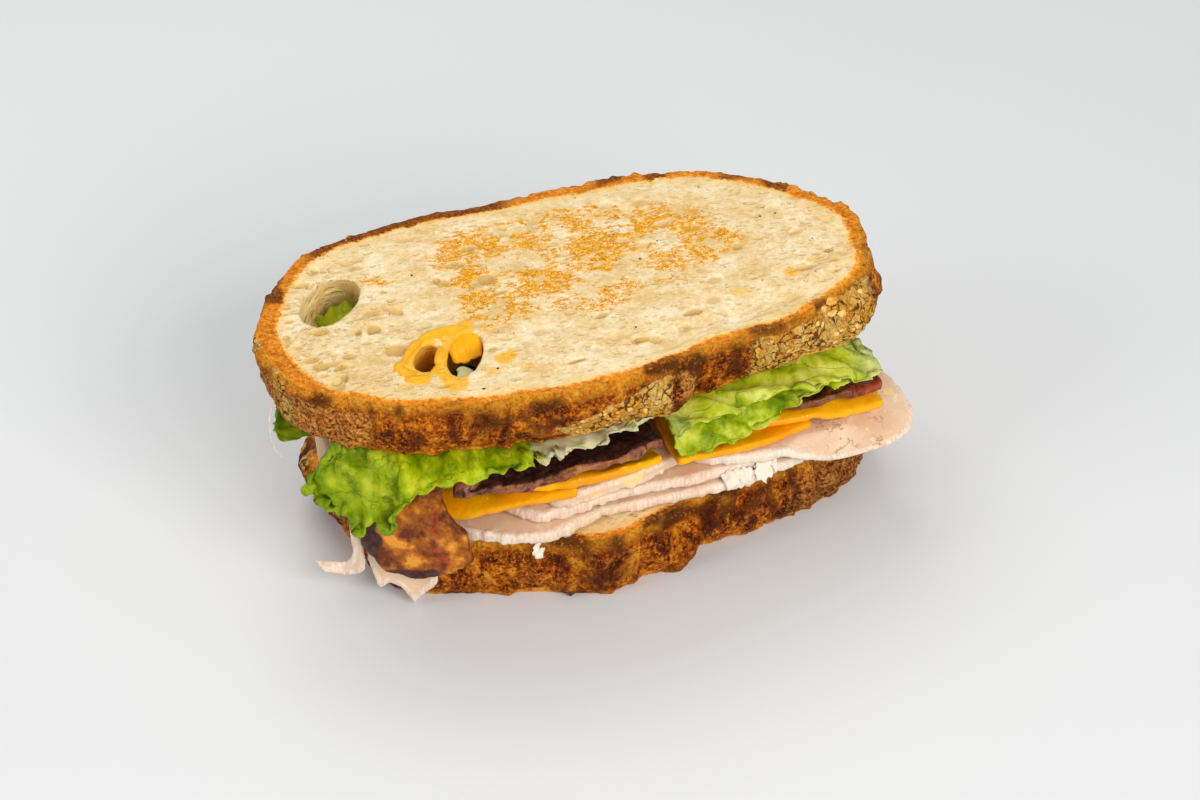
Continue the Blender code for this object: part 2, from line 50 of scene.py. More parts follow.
# Voxel sizes in millimetres for the pieces that are remeshed
BREAD_UPPER_GRAIN = 0.62
BREAD_LOWER_GRAIN = 0.76
TURKEY_GRAIN = 0.86
THIN_TURKEY_GRAIN = 0.5
CHEESE_GRAIN = 0.8
BACON_GRAIN = 0.6

# Places are in millimetres, in a plan where the upper slice's box has its middle here
SLICE_MIDDLE = (0.4, -1.25)

# The crumb face of the upper slice lies above this height, and its loose crumbs above this one
FACE_LOW = 60
FACE_BARE = 64

# Large pores in the upper crumb: centre, radii, turn in degrees, depth
POCKETS = (
    ((-52.6, -5.2), (2.0, 2.6), -25, 1.3), ((-56.8, -5.7), (1.2, 1.7), -30, 0.9),
    ((-50.0, -16.0), (3.2, 3.4), 30, 1.1), ((-69.3, -17.3), (2.6, 1.7), -15, 1.3),
    ((-64.7, -18.9), (1.9, 1.4), 0, 1.0), ((-65.1, -23.2), (1.3, 2.0), 10, 1.1),
    ((-46.1, 10.2), (1.1, 1.6), 10, 0.8), ((-45.5, 0.6), (3.0, 1.9), -30, 0.7),
    ((-31.5, 9.6), (3.0, 2.3), -35, 1.2), ((-20.3, 23.0), (3.0, 1.9), 5, 0.9),
    ((-25.8, 16.0), (3.3, 2.4), -10, 1.1), ((-20.0, 7.4), (2.4, 2.6), 10, 1.5),
    ((-18.4, 0.6), (2.0, 1.3), 0, 0.8), ((-60.2, 25.4), (1.4, 1.1), 0, 0.9),
    ((-57.9, 24.1), (1.2, 1.0), 0, 0.8), ((-71.2, 11.1), (1.3, 2.0), 10, 0.9),
    ((-74.4, -2.4), (1.1, 1.8), 0, 0.9), ((24.3, -24.2), (3.4, 1.6), 12, 1.5),
    ((-10.1, -35.0), (3.0, 1.1), 10, 0.9), ((-42.9, -34.2), (2.6, 0.9), 8, 1.0),
    ((67.5, -8.5), (1.4, 1.6), 0, 1.0), ((66.9, -13.9), (1.3, 0.9), 0, 0.9),
    ((66.0, -18.0), (1.5, 0.9), 30, 0.8), ((2.5, -18.0), (2.4, 1.2), 20, 0.9),
    ((8.0, -31.0), (3.6, 1.6), 15, 1.1), ((46.0, 1.0), (2.4, 1.8), 0, 0.7),
    ((40.0, 14.0), (1.8, 1.4), 20, 0.7),
)

# Where cheddar has melted into the crumb: centre, radii, turn, strength
CHEESE_STAINS = (
    ((-26.1, -28.2), (3.4, 3.6), 20, 0.95), ((-31.0, -33.5), (5.6, 1.7), 20, 0.6),
    ((-22.0, -33.5), (4.0, 1.6), 20, 0.5), ((56.4, -14.6), (5.0, 2.9), 5, 0.9),
    ((39.5, -19.0), (4.6, 2.8), 10, 0.5), ((61.5, -11.5), (2.6, 1.5), 20, 0.8),
    ((32.0, 33.3), (3.6, 1.5), 5, 0.4), ((-59.5, 0.0), (3.4, 1.4), 25, 0.35),
    ((-49.5, -31.5), (5.4, 1.6), -5, 0.45),
)

# The thin thread of meat that hangs at the left end
THREAD = (
    (-80.6, -12.6, 56), (-82.6, -15.4, 53.4), (-83.0, -16.8, 49), (-82.4, -17.6, 45), (-80.8, -18.4, 42.6),
)

# The two bubbles that cheddar has run into: centre, radii, turn
CHEESE_BUBBLES = (((-43.9, -22.2), (3.6, 6.6), -27), ((-34.8, -23.6), (4.6, 10.3), -25))

# The largest charred specks on the crumb face
CHARRED_SPECKS = (
    (61.3, 12.4), (57, 12.3), (8.6, -25.9), (20.1, 3.2),
    (-37.6, 14.6), (-73.1, 17.5), (-34.8, -39.4), (-29, -32),
)

# Burnt bars on the upper slice's front: place, width, level, height
BURNT_BARS = (
    (-62.6, 1.5, 57, 6), (-55.9, 1.3, 64.5, 3), (-51.5, 1.4, 55, 4), (-36, 4, 60, 5), (-31, 1.5, 57, 6),
    (30.5, 2.2, 58, 7), (20, 1.0, 57, 5), (-69.5, 1.0, 55, 5), (-43.5, 1.2, 59, 5),
)

# Where the lace of toast lies on the upper slice: centre, radii, turn, strength
TOAST = (
    ((-14, 12), (20, 23), 25, 1.0), ((-22, -5), (11, 13), 0, 0.95), ((18, 14), (24, 13), 4, 0.85),
    ((38, 6), (13, 12), 0, 0.8), ((2, 27), (26, 7), 4, 0.6), ((4, -10), (12, 9), 10, 0.45),
    ((-46.6, 15.2), (5.5, 3.2), -20, 0.75), ((8, 8), (46, 26), 6, 0.62),
)

# Runs of melted cheddar: places with the half-width at each
CHEESE_RUNS = (
    (
        (-51.5, -23.5, 66.9, 1.0), (-49.6, -21.4, 67.1, 0.9), (-46.6, -17.2, 67.2, 0.9),
        (-43.0, -13.8, 67.2, 1.1), (-39.0, -12.6, 67.2, 1.3), (-34.6, -11.8, 67.1, 1.3),
        (-31.2, -13.2, 67.0, 1.1), (-29.4, -15.6, 66.8, 0.8),
    ),
    (
        (-38.6, -13.0, 66.9, 1.3), (-38.6, -16.6, 66.6, 1.3), (-39.8, -20.6, 66.5, 1.2),
        (-41.6, -25.0, 66.6, 1.2), (-43.8, -28.4, 66.8, 1.1), (-46.8, -30.0, 66.9, 1.3),
        (-50.4, -29.6, 66.9, 1.1),
    ),
    (
        (-51.8, -23.0, 66.9, 1.0), (-51.0, -25.6, 66.8, 1.4), (-49.4, -27.4, 66.6, 1.5),
        (-48.0, -25.4, 65.2, 1.3),
    ),
    ((-43.6, -29.4, 66.8, 1.0), (-41.4, -29.6, 66.7, 0.8), (-40.2, -31.0, 66.7, 0.6)),
    ((-36.6, -14.6, 66.4, 1.5), (-36.2, -17.2, 65.0, 1.5), (-35.8, -19.6, 62.8, 1.3)),
    ((-34.2, -13.4, 66.4, 1.8), (-34.0, -16.6, 64.9, 1.7), (-33.8, -19.4, 62.6, 1.4)),
    ((-31.8, -13.8, 66.3, 1.7), (-31.6, -16.8, 64.8, 1.6), (-31.4, -19.2, 62.8, 1.3)),
    ((-29.9, -15.4, 66.1, 1.3), (-29.7, -17.6, 65.0, 1.3), (-30.0, -19.6, 63.4, 1.0)),
)


# ---- noise on arrays of points


def scramble(cells, seed):
    """A number between 0 and 1 for each whole-numbered cell."""
    x, y, z = (cells[..., k].astype(np.int64) for k in range(3))
    mixed = (x * 374761393 + y * 668265263 + z * 2147483647 + seed * 974634777) & 0xFFFFFFFF
    mixed = ((mixed ^ (mixed >> 13)) * 1274126177) & 0xFFFFFFFF
    mixed = ((mixed ^ (mixed >> 16)) * 2246822519) & 0xFFFFFFFF
    return ((mixed ^ (mixed >> 15)) & 0xFFFFFF) / 0xFFFFFF


def lumps(points, size, seed, octaves=1):
    """Smooth noise from -1 to 1, its lumps of one size in millimetres or of three, along the axes."""
    total = np.zeros(len(points))
    reach = 0.0
    for octave in range(octaves):
        scaled = points / (np.array(size) / 2**octave) + 17.3 * (octave + 1)
        base = np.floor(scaled)
        part = scaled - base
        part = part * part * part * (part * (part * 6 - 15) + 10)
        value = np.zeros(len(points))
        for corner in np.ndindex(2, 2, 2):
            weight = np.prod(np.where(corner, part, 1 - part), axis=1)
            value += weight * scramble(base + corner, seed + 31 * octave)
        total += (2 * value - 1) / 2**octave
        reach += 1 / 2**octave
    return total / reach * 1.6


def nests(points, size, seed, share=1.0, flat=False):
    """Distance to the nearest scattered seed, in units of their spacing, and that seed's random number."""
    scaled = points / size
    base = np.floor(scaled)
    nearest = np.full(len(points), 9.0)
    owner = np.zeros(len(points))
    for step in np.ndindex(3, 3, 1 if flat else 3):
        cell = base + np.array(step) - (1, 1, 0 if flat else 1)
        if flat:
            cell[:, 2] = 0
        place = np.stack([scramble(cell, seed + 7 * k) for k in range(3)], axis=1)
        offset = cell + place - scaled
        if flat:
            offset[:, 2] = 0
        distance = np.linalg.norm(offset, axis=1)
        distance = np.where(scramble(cell, seed + 91) < share, distance, 9.0)
        closer = distance < nearest
        nearest = np.where(closer, distance, nearest)
        owner = np.where(closer, scramble(cell, seed + 57), owner)
    return nearest, owner


def ease(value, low, high):
    """0 below low and 1 above high, smooth between."""
    share = np.clip((value - low) / (high - low), 0, 1)
    return share * share * (3 - 2 * share)


def fade(value, low, high):
    """1 below low and 0 above high, smooth between."""
    return 1 - ease(value, low, high)


def in_ellipse(points, centre, radii, turn):
    """Distance from an ellipse's centre in plan: 1 on its rim."""
    angle = math.radians(turn)
    x, y = points[:, 0] - centre[0], points[:, 1] - centre[1]
    along = x * math.cos(angle) + y * math.sin(angle)
    across = y * math.cos(angle) - x * math.sin(angle)
    return np.hypot(along / radii[0], across / radii[1])


# ---- meshes


def plan_shift():
    """From the plan of the slices to the frame, in millimetres."""
    low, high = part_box("bread_upper")
    middle = (low + high) / 2 / MM
    return np.array((middle.x - SLICE_MIDDLE[0], middle.y - SLICE_MIDDLE[1], 0))


def linked(name, data):
    """A new object in the scene."""
    made = bpy.data.objects.new(name, data)
    bpy.context.scene.collection.objects.link(made)
    return made


def reshape(made, grain, levels, smooth, factor):
    """Gives an object's mesh an even grain in millimetres, or rounds it by levels, and smooths it."""
    if grain:
        remesh = made.modifiers.new("grain", "REMESH")
        remesh.mode = "VOXEL"
        remesh.voxel_size = grain * MM
    if levels:
        rounded = made.modifiers.new("rounded", "SUBSURF")
        rounded.levels = levels
        rounded.render_levels = levels
    if smooth:
        calm = made.modifiers.new("calm", "SMOOTH")
        calm.factor = factor
        calm.iterations = smooth
    name = made.data.name
    depsgraph = bpy.context.evaluated_depsgraph_get()
    made.data = bpy.data.meshes.new_from_object(made.evaluated_get(depsgraph))
    made.data.name = name
    made.modifiers.clear()


def welded(node):
    """A copy of a node's mesh with its corners joined."""
    work = bmesh.new()
    work.from_mesh(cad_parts[node].data)
    bmesh.ops.remove_doubles(work, verts=work.verts, dist=0.000002)
    return work


def sharp_rims(work, degrees=48):
    """Points along a solid's sharp edges, in millimetres."""
    found = []
    for edge in work.edges:
        if len(edge.link_faces) == 2 and edge.calc_face_angle(0) > math.radians(degrees):
            a, b = (vertex.co for vertex in edge.verts)
            count = max(1, round((b - a).length / (0.5 * MM)))
            found += [a.lerp(b, k / count) for k in range(count)]
    return [point / MM for point in found]


def mark_points(mesh, **marks):
    """Gives a mesh's points named numbers for the finishes: one for all, or one for each."""
    for label, values in marks.items():
        layer = mesh.attributes.new(label, "FLOAT", "POINT")
        layer.data.foreach_set("value", np.broadcast_to(np.float32(values), len(mesh.vertices)).copy())


class Dressed:
    """A fine copy of a node, held as arrays in millimetres while it is shaped."""

    def __init__(self, node, name, grain=None, levels=0, smooth=2):
        self.node = node
        work = welded(node)
        self.rims = sharp_rims(work)
        if levels:
            bmesh.ops.join_triangles(
                work, faces=work.faces, angle_face_threshold=1.2, angle_shape_threshold=1.2
            )
        mesh = bpy.data.meshes.new(name)
        work.to_mesh(mesh)
        work.free()
        self.object = linked(name, mesh)
        reshape(self.object, grain, levels, smooth, 0.5)
        self.mesh = self.object.data
        self.read()

    def read(self):
        count = len(self.mesh.vertices)
        flat = np.empty(count * 3, np.float32)
        self.mesh.vertices.foreach_get("co", flat)
        self.points = flat.reshape(-1, 3).astype(float) / MM - SHIFT
        self.mesh.vertex_normals.foreach_get("vector", flat)
        self.normals = flat.reshape(-1, 3).astype(float)

    def write(self):
        self.mesh.vertices.foreach_set("co", ((self.points + SHIFT) * MM).astype(np.float32).ravel())
        self.mesh.update()
        self.mesh.shade_smooth()
        self.read()

    def swell(self, height):
        """Moves the surface out by a height in millimetres at each point."""
        self.points = self.points + self.normals * height[:, None]
        self.write()

    def mark(self, **marks):
        mark_points(self.mesh, **marks)

    def from_rim(self, limit=12.0):
        """Each point's distance from the solid's sharp edges."""
        tree = kdtree.KDTree(len(self.rims))
        for index, point in enumerate(self.rims):
            tree.insert(point - Vector(SHIFT), index)
        tree.balance()
        return np.minimum([tree.find(point)[2] for point in self.points.tolist()], limit)

    def place(self, finish, slot):
        self.mesh.materials.clear()
        self.mesh.materials.append(finish)
        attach(self.object, "root")
        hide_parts(self.node)


def loose_piece(name, points, faces, finish):
    """A piece made at once from points in the plan's millimetres."""
    mesh = bpy.data.meshes.new(name)
    mesh.from_pydata(((np.array(points) + SHIFT) * MM).tolist(), [], faces)
    mesh.update()
    mesh.shade_smooth()
    mesh.materials.append(finish)
    made = linked(name, mesh)
    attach(made, "root")
    return made


def pebble(work, place, radii, turn=(0, 0, 0), rough=0.0, seed=0, detail=2):
    """A small rounded lump added to a bmesh, in millimetres."""
    spin = Euler(turn).to_matrix()
    made = bmesh.ops.create_icosphere(work, subdivisions=detail, radius=1)["verts"]
    unit = np.array([vertex.co[:] for vertex in made])
    swell = 1 + rough * lumps(unit, 0.8, seed)
    for vertex, corner, size in zip(made, unit, swell):
        vertex.co = spin @ Vector(corner * np.array(radii) * size) + Vector(place)


def from_pebbles(name, work, finish, fused=0.0, calm=0):
    """Turns lumps gathered in a bmesh into a piece, fused into one skin where a grain is given."""
    mesh = bpy.data.meshes.new(name)
    for vertex in work.verts:
        vertex.co = (vertex.co + Vector(SHIFT)) * MM
    work.to_mesh(mesh)
    work.free()
    made = linked(name, mesh)
    if fused:
        reshape(made, fused, 0, calm, 0.6)
    made.data.shade_smooth()
    made.data.materials.clear()
    made.data.materials.append(finish)
    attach(made, "root")
    return made


# ---- finishes


def worked_out(operation, reflected=False):
    """An operator that adds a Math node, with its terms the other way round where it is reflected."""

    def apply(self, other):
        terms = (other, self) if reflected else (self, other)
        return self.finish.add("ShaderNodeMath", {"operation": operation}, terms)

    return apply


class Value:
    """An output socket of a finish: arithmetic on it adds Math nodes."""

    __add__, __radd__ = worked_out("ADD"), worked_out("ADD", True)
    __sub__, __rsub__ = worked_out("SUBTRACT"), worked_out("SUBTRACT", True)
    __mul__, __rmul__ = worked_out("MULTIPLY"), worked_out("MULTIPLY", True)
    at_most, at_least = worked_out("MINIMUM"), worked_out("MAXIMUM")

    def __init__(self, finish, socket):
        self.finish = finish
        self.socket = socket

    def between(self, low, high):
        """0 where the value is low and 1 where it is high, eased; low may be the larger."""
        sockets = {"Value": self, "From Min": low, "From Max": high}
        return self.finish.add("ShaderNodeMapRange", {"interpolation_type": "SMOOTHSTEP"}, sockets)


class Finish:
    """A procedural material, made by adding nodes and mixing their sockets."""

    def __init__(self, name):
        self.material = bpy.data.materials.new(name)
        self.material.use_nodes = True
        self.tree = self.material.node_tree
        self.shader = self.tree.nodes["Principled BSDF"]
        self.output = self.tree.nodes["Material Output"]
        self.here = self.add("ShaderNodeTexCoord", {}, {}, "Object")

    def add(self, kind, settings, sockets, take=0):
        """One node: its settings first, then its sockets by name or in order, and the output that is used."""
        node = self.tree.nodes.new(kind)
        for key, value in settings.items():
            if key == "stops":
                ramp = node.color_ramp
                while len(ramp.elements) < len(value):
                    ramp.elements.new(0.5)
                for element, (position, colour) in zip(ramp.elements, value):
                    element.position = position
                    element.color = (*colour, 1)
            else:
                setattr(node, key, value)
        named = sockets.items() if isinstance(sockets, dict) else enumerate(sockets)
        for key, value in named:
            self.feed(node.inputs[key], value)
        return Value(self, node.outputs[take])

    def feed(self, socket, value):
        if isinstance(value, Value):
            self.tree.links.new(value.socket, socket)
        elif isinstance(value, (tuple, list)) and socket.type == "RGBA":
            socket.default_value = (*value, 1)
        else:
            socket.default_value = value

    def marks(self, *names):
        """Numbers that the mesh carries at each point."""
        return [self.add("ShaderNodeAttribute", {"attribute_name": name}, {}, "Fac") for name in names]

    def stretched(self, x, y, z):
        """The place on the object, with its axes scaled."""
        sockets = {"Vector": self.here, "Scale": (x, y, z)}
        return self.add("ShaderNodeMapping", {"vector_type": "POINT"}, sockets)

    def bent(self, size, amount, where=None):
        """The place on the object, pushed about in waves of the given size by an amount in millimetres."""
        sockets = {"Vector": self.here, "Scale": 1 / (size * MM), "Detail": 2}
        push = self.add("ShaderNodeTexNoise", {}, sockets, "Color")
        sockets = {0: push, 1: (amount * MM,) * 3, 2: where or self.here}
        return self.add("ShaderNodeVectorMath", {"operation": "MULTIPLY_ADD"}, sockets)

    def noise(self, size, detail=3, rough=0.55, where=None):
        """Noise from 0 to 1 with features of the given size in millimetres."""
        sockets = {"Vector": where or self.here, "Scale": 1 / (size * MM)}
        return self.add("ShaderNodeTexNoise", {}, {**sockets, "Detail": detail, "Roughness": rough})

    def cells(self, size, feature="F1", where=None, take="Distance"):
        """Cells of a size in millimetres: distance to their centres or walls, or a colour for each."""
        sockets = {"Vector": where or self.here, "Scale": 1 / (size * MM)}
        return self.add("ShaderNodeTexVoronoi", {"feature": feature}, sockets, take)

    def mix(self, share, low, high):
        """From one colour to another."""
        return self.add("ShaderNodeMix", {"data_type": "RGBA"}, {0: share, 6: low, 7: high}, 2)

    def ramp(self, value, *stops):
        return self.add("ShaderNodeValToRGB", {"stops": stops}, {"Fac": value}, "Color")

    def relief(self, height, depth, under=None):
        """A bump whose full height is the given depth in millimetres."""
        sockets = {"Height": height, "Distance": depth * MM, "Strength": 1.0}
        if under:
            sockets["Normal"] = under
        return self.add("ShaderNodeBump", {}, sockets)

    def threads(self, size, width, where=None):
        """Thin curling lines of the given width, in millimetres, as noise draws its level lines."""
        level = self.noise(size, 3, 0.62, where) - 0.5
        spread = (0.125 * width / size) ** 2
        return (level * level).between(2.0 * spread, 0.4 * spread)

    def choose(self, share, low, high):
        """From one surface normal to another."""
        return self.add("ShaderNodeMix", {"data_type": "VECTOR"}, {0: share, 4: low, 5: high}, 1)

    def set(self, **sockets):
        """Feeds the surface's own sockets, named with _ for a space."""
        for key, value in sockets.items():
            self.feed(self.shader.inputs[key.replace("_", " ")], value)
        return self

    def glow_through(self, colour, share):
        """Light that shines through a thin piece."""
        through = self.add("ShaderNodeBsdfTranslucent", {}, {"Color": colour})
        mixed = self.add("ShaderNodeMixShader", {}, {0: share, 2: through})
        self.tree.links.new(self.shader.outputs[0], mixed.socket.node.inputs[1])
        self.tree.links.new(mixed.socket, self.output.inputs["Surface"])
        return self


def toasted_bread():
    """Cream crumb with pores and a lace of toast, inside a blistered brown crust with flour on it."""
    f = Finish("toasted_bread")
    inset, wall, drop, hollow, pit, airy = f.marks("inset", "wall", "drop", "hollow", "pit", "airy")
    toast, flour, grey, char, cheese = f.marks("toast", "flour", "grey", "char", "cheese")

    cloud = f.noise(7, 5, 0.65)
    fibre = f.noise(0.9, 5, 0.8, f.stretched(0.8, 1, 1))
    grit = f.noise(0.5, 2, 0.6)
    crumb = f.ramp(cloud, (0.36, (0.77, 0.53, 0.21)), (0.5, (0.86, 0.65, 0.35)), (0.62, (0.94, 0.78, 0.51)))
    crumb = f.mix(fibre.between(0.50, 0.34) * 0.6, crumb, (0.70, 0.45, 0.15))
    crumb = f.mix(fibre.between(0.52, 0.64) * 0.55, crumb, (1.0, 0.91, 0.68))
    long_cells = f.bent(2.5, 1.0, f.stretched(0.62, 1, 1))
    wide = f.cells(2.9, "F1", long_cells).between(0.42, 0.22)
    wide = wide * (f.cells(2.9, "F1", long_cells, "Color") + 0.22 * airy).between(0.70, 0.78)
    fine = f.cells(1.25, "F1", long_cells).between(0.46, 0.24)
    fine = fine * (f.cells(1.25, "F1", long_cells, "Color") + 0.22 * airy).between(0.68, 0.76)
    # Painted shade: the crumb is drawn darker in its small pores and where its open pores dip, as shade in the
    # hollows.
    crumb = f.mix((wide * 0.6 + fine * 0.5).at_most(0.8), crumb, (0.78, 0.52, 0.20))
    crumb = f.mix(hollow.between(0.2, 0.8) * 0.85, crumb, (0.64, 0.39, 0.11))
    crumb = f.mix(inset.between(10.0, 2.5) * 0.35, crumb, (0.91, 0.64, 0.27))

    curls = f.bent(1.6, 1.2, f.stretched(0.6, 1, 1))
    broken = f.noise(1.5, 3, 0.65, curls)
    patch = f.noise(9, 3, 0.6)
    open_crumb = 1 - (hollow.between(0.1, 0.5) + wide * 0.8).at_most(1)
    strength = (toast * 1.5 * patch.between(0.35, 0.60)).at_most(1)
    strokes = f.threads(2.3, 0.80, curls).at_least(f.threads(1.3, 0.42, f.bent(3, 2)))
    lace = strokes * (broken + 0.16 * strength).between(0.51, 0.60)
    lace = lace * strength.between(0.05, 0.45) * open_crumb
    solid = (broken + 0.10 * strength).between(0.66, 0.74) * strength.between(0.2, 0.7) * open_crumb
    glow = f.noise(2.6, 3, 0.6, curls).between(0.40, 0.62) * strength * open_crumb
    crumb = f.mix(glow * 0.9, crumb, (0.93, 0.55, 0.09))
    crumb = f.mix((lace * 1.15 + solid * 0.8).at_most(1), crumb, (0.83, 0.36, 0.010))
    crumb = f.mix(lace * grit.between(0.50, 0.62), crumb, (0.58, 0.18, 0.006))

    # Painted light: the walls inside the bubbles get a brighter, warmer copy of the crumb colour, standing in
    # for light that reaches them.
    layers = f.noise(2.4, 4, 0.6, f.stretched(1, 1, 0.3))
    crumb = f.mix(pit * 0.9, crumb, f.ramp(layers, (0.36, (0.90, 0.60, 0.19)), (0.6, (1.0, 0.83, 0.42))))

    blotch = f.noise(1.5, 5, 0.75)
    streak = f.noise(3.4, 4, 0.65, f.stretched(1, 1, 0.45))
    speck = f.noise(0.8, 3, 0.7)
    tone = 0.30 * f.noise(7, 4, 0.6) + 0.30 * streak + 0.40 * blotch
    crust = f.ramp(
        tone, (0.43, (0.060, 0.010, 0.003)), (0.465, (0.22, 0.034, 0.004)), (0.50, (0.47, 0.092, 0.005)),
        (0.535, (0.78, 0.21, 0.008)), (0.575, (1.0, 0.40, 0.030)),
    )
    # Lighter orange specks of crust: partly its own colour, partly painted highlights of its gloss.
    crust = f.mix(speck.between(0.56, 0.66) * 0.55, crust, (0.97, 0.47, 0.06))
    crust = f.mix(speck.between(0.45, 0.35) * 0.7, crust, (0.12, 0.020, 0.005))
    rise = (drop + 4 * blotch + 2.5 * streak).between(8.0, 4.2)
    golden = f.ramp(
        0.4 * fibre + 0.3 * speck + 0.3 * blotch, (0.40, (0.54, 0.115, 0.005)), (0.46, (0.86, 0.27, 0.010)),
        (0.53, (0.98, 0.42, 0.030)), (0.60, (1.0, 0.58, 0.10)),
    )
    crust = f.mix(rise * 0.9, crust, golden)
    burnt = char * (0.56 + blotch).between(0.90, 1.04)
    crust = f.mix(burnt * 0.9, crust, (0.080, 0.014, 0.006))
    speckled = f.ramp(
        0.6 * speck + 0.4 * blotch, (0.42, (0.14, 0.032, 0.008)), (0.48, (0.54, 0.165, 0.022)),
        (0.56, (0.94, 0.43, 0.09)),
    )
    crust = f.mix((grey + 0.8 * blotch - 0.4).between(0.25, 0.75) * 0.75, crust, speckled)

    rind = inset + 3.4 * f.noise(1.6, 5, 0.75) - 1.7
    scorched = f.mix(speck.between(0.42, 0.62), (0.055, 0.012, 0.010), (0.30, 0.060, 0.010))
    crumb = f.mix(rind.between(5.2, 2.6) * 0.55, crumb, (0.93, 0.59, 0.18))
    crumb = f.mix(rind.between(3.4, 2.5) * 0.95, crumb, golden)
    crumb = f.mix(rind.between(2.9, 1.7) * (0.35 + blotch).between(0.70, 0.98), crumb, (0.50, 0.115, 0.008))
    crumb = f.mix(rind.between(2.9, 1.9) * char, crumb, f.mix(char * 0.9, golden, scorched))

    cracked = f.bent(1.6, 2.0)
    gaps = f.cells(2.7, "DISTANCE_TO_EDGE", cracked) + 0.04 * grit
    powder = (flour * 1.6 + 1.8 * blotch - 1.25).between(0.0, 0.4)
    dusty = f.ramp(
        0.4 * streak + 0.3 * blotch + 0.3 * speck, (0.42, (0.76, 0.29, 0.022)), (0.48, (0.98, 0.46, 0.058)),
        (0.54, (1.0, 0.69, 0.20)),
    )
    dusty = f.mix(grit.between(0.47, 0.36) * 0.3, dusty, (0.46, 0.17, 0.02))
    crust = f.mix(powder * 0.9, crust, dusty)
    split = gaps.between(0.11, 0.07) * powder.between(0.2, 0.8) * f.noise(4, 2, 0.5).between(0.46, 0.54)
    crust = f.mix(split * 0.9, crust, (0.12, 0.028, 0.006))

    body = f.mix(wall, crumb, crust)
    melted = f.ramp(fibre, (0.35, (0.90, 0.40, 0.008)), (0.6, (0.96, 0.54, 0.03)))
    stained = (cheese * 1.6 + blotch - 0.8).between(0.0, 0.5) * cheese.at_most(0.9)
    body = f.mix(stained, body, melted)

    soft = f.relief(fibre * 0.6 + grit * 0.3 - wide * 0.9 - fine * 0.7, 0.42)
    blisters = f.cells(1.3, "SMOOTH_F1", f.bent(2, 1)).between(0.55, 0.1)
    plates = gaps.between(0.02, 0.16) * powder
    rough = f.relief(blotch * 1.6 + speck * 0.8 + blisters * 0.8 + plates * 0.7, 1.2)
    shine = wall * (1 - powder) * blotch.between(0.35, 0.6)
    f.set(Base_Color=body, Roughness=0.88 - 0.45 * cheese - 0.45 * shine, Normal=f.choose(wall, soft, rough))
    f.set(Specular_IOR_Level=0.12, Specular_Tint=(1, 0.80, 0.52))
    f.set(Subsurface_Weight=0.05, Subsurface_Radius=(1.2, 0.6, 0.25), Subsurface_Scale=0.001)
    return f.material


def sliced_turkey():
    """Pale pink meat with fine fibres, whiter and striped at the torn edge."""
    f = Finish("sliced_turkey")
    rim, cracked, greasy, pale = f.marks("rim", "cracked", "greasy", "pale")
    fibre = f.noise(2.2, 5, 0.7, f.stretched(1, 0.35, 1.6))
    stripe = f.noise(0.8, 4, 0.7, f.stretched(1, 1, 0.14))
    cloud = f.noise(13, 3, 0.5)
    meat = f.ramp(cloud, (0.36, (0.72, 0.46, 0.28)), (0.56, (0.78, 0.56, 0.38)), (0.7, (0.83, 0.64, 0.46)))
    meat = f.mix(fibre.between(0.54, 0.72) * 0.5, meat, (0.96, 0.83, 0.68))
    meat = f.mix(fibre.between(0.42, 0.27) * 0.45, meat, (0.76, 0.43, 0.28))
    cut_face = rim.between(2.0, 1.1)
    torn = f.ramp(stripe, (0.34, (0.68, 0.48, 0.36)), (0.5, (0.82, 0.66, 0.53)), (0.64, (0.94, 0.85, 0.74)))
    meat = f.mix(cut_face * 0.65, meat, torn)
    lines = f.threads(6, 0.5, f.bent(3, 1.5)) * cracked * f.noise(5, 2, 0.5).between(0.48, 0.54)
    meat = f.mix(lines * 0.75, meat, (0.60, 0.32, 0.17))
    meat = f.mix((greasy + 2.4 * cloud - 1.2).between(0.45, 0.95) * 0.7, meat, (0.97, 0.70, 0.28))
    meat = f.mix(f.cells(9, "F1").between(0.05, 0.03) * 0.8, meat, (0.62, 0.24, 0.05))
    meat = f.mix(pale * 0.65, meat, (0.94, 0.85, 0.73))
    bump = f.relief(fibre * 0.7 + stripe * cut_face * 0.6 + f.noise(0.7, 3, 0.7) * 0.35 - lines, 0.4)
    f.set(Base_Color=meat, Roughness=0.40 + 0.22 * fibre, Normal=bump, Specular_IOR_Level=0.32)
    f.set(Specular_Tint=(1, 0.93, 0.85), Subsurface_Weight=0.22, Subsurface_Radius=(2.2, 1.0, 0.6))
    f.set(Subsurface_Scale=0.0015)
    return f.material


def cheddar_slice():
    """Waxy orange cheese, with a painted highlight along its cut edges."""
    f = Finish("cheddar_slice")
    (rim,) = f.marks("rim")
    cloud = f.noise(9, 3, 0.5)
    paste = f.ramp(cloud, (0.36, (0.80, 0.29, 0.001)), (0.62, (0.91, 0.42, 0.002)))
    # Painted highlight: the colour is lighter along the slice's rounded edges.
    paste = f.mix(rim.between(0.8, 0.1) * 0.3, paste, (0.98, 0.56, 0.02))
    flecks = f.cells(3.4, "F1").between(0.09, 0.05) * f.noise(5, 2, 0.5).between(0.48, 0.58)
    paste = f.mix(flecks * 0.7, paste, (1.0, 0.82, 0.42))
    bump = f.relief(f.noise(3.4, 4, 0.55) + 0.25 * f.noise(0.9, 3, 0.6), 0.4)
    f.set(Base_Color=paste, Roughness=0.26 + 0.12 * cloud, Normal=bump, Specular_IOR_Level=0.3)
    f.set(Specular_Tint=(1, 0.80, 0.45), Subsurface_Weight=0.15, Subsurface_Radius=(1.6, 0.7, 0.1))
    f.set(Subsurface_Scale=0.0012)
    return f.material


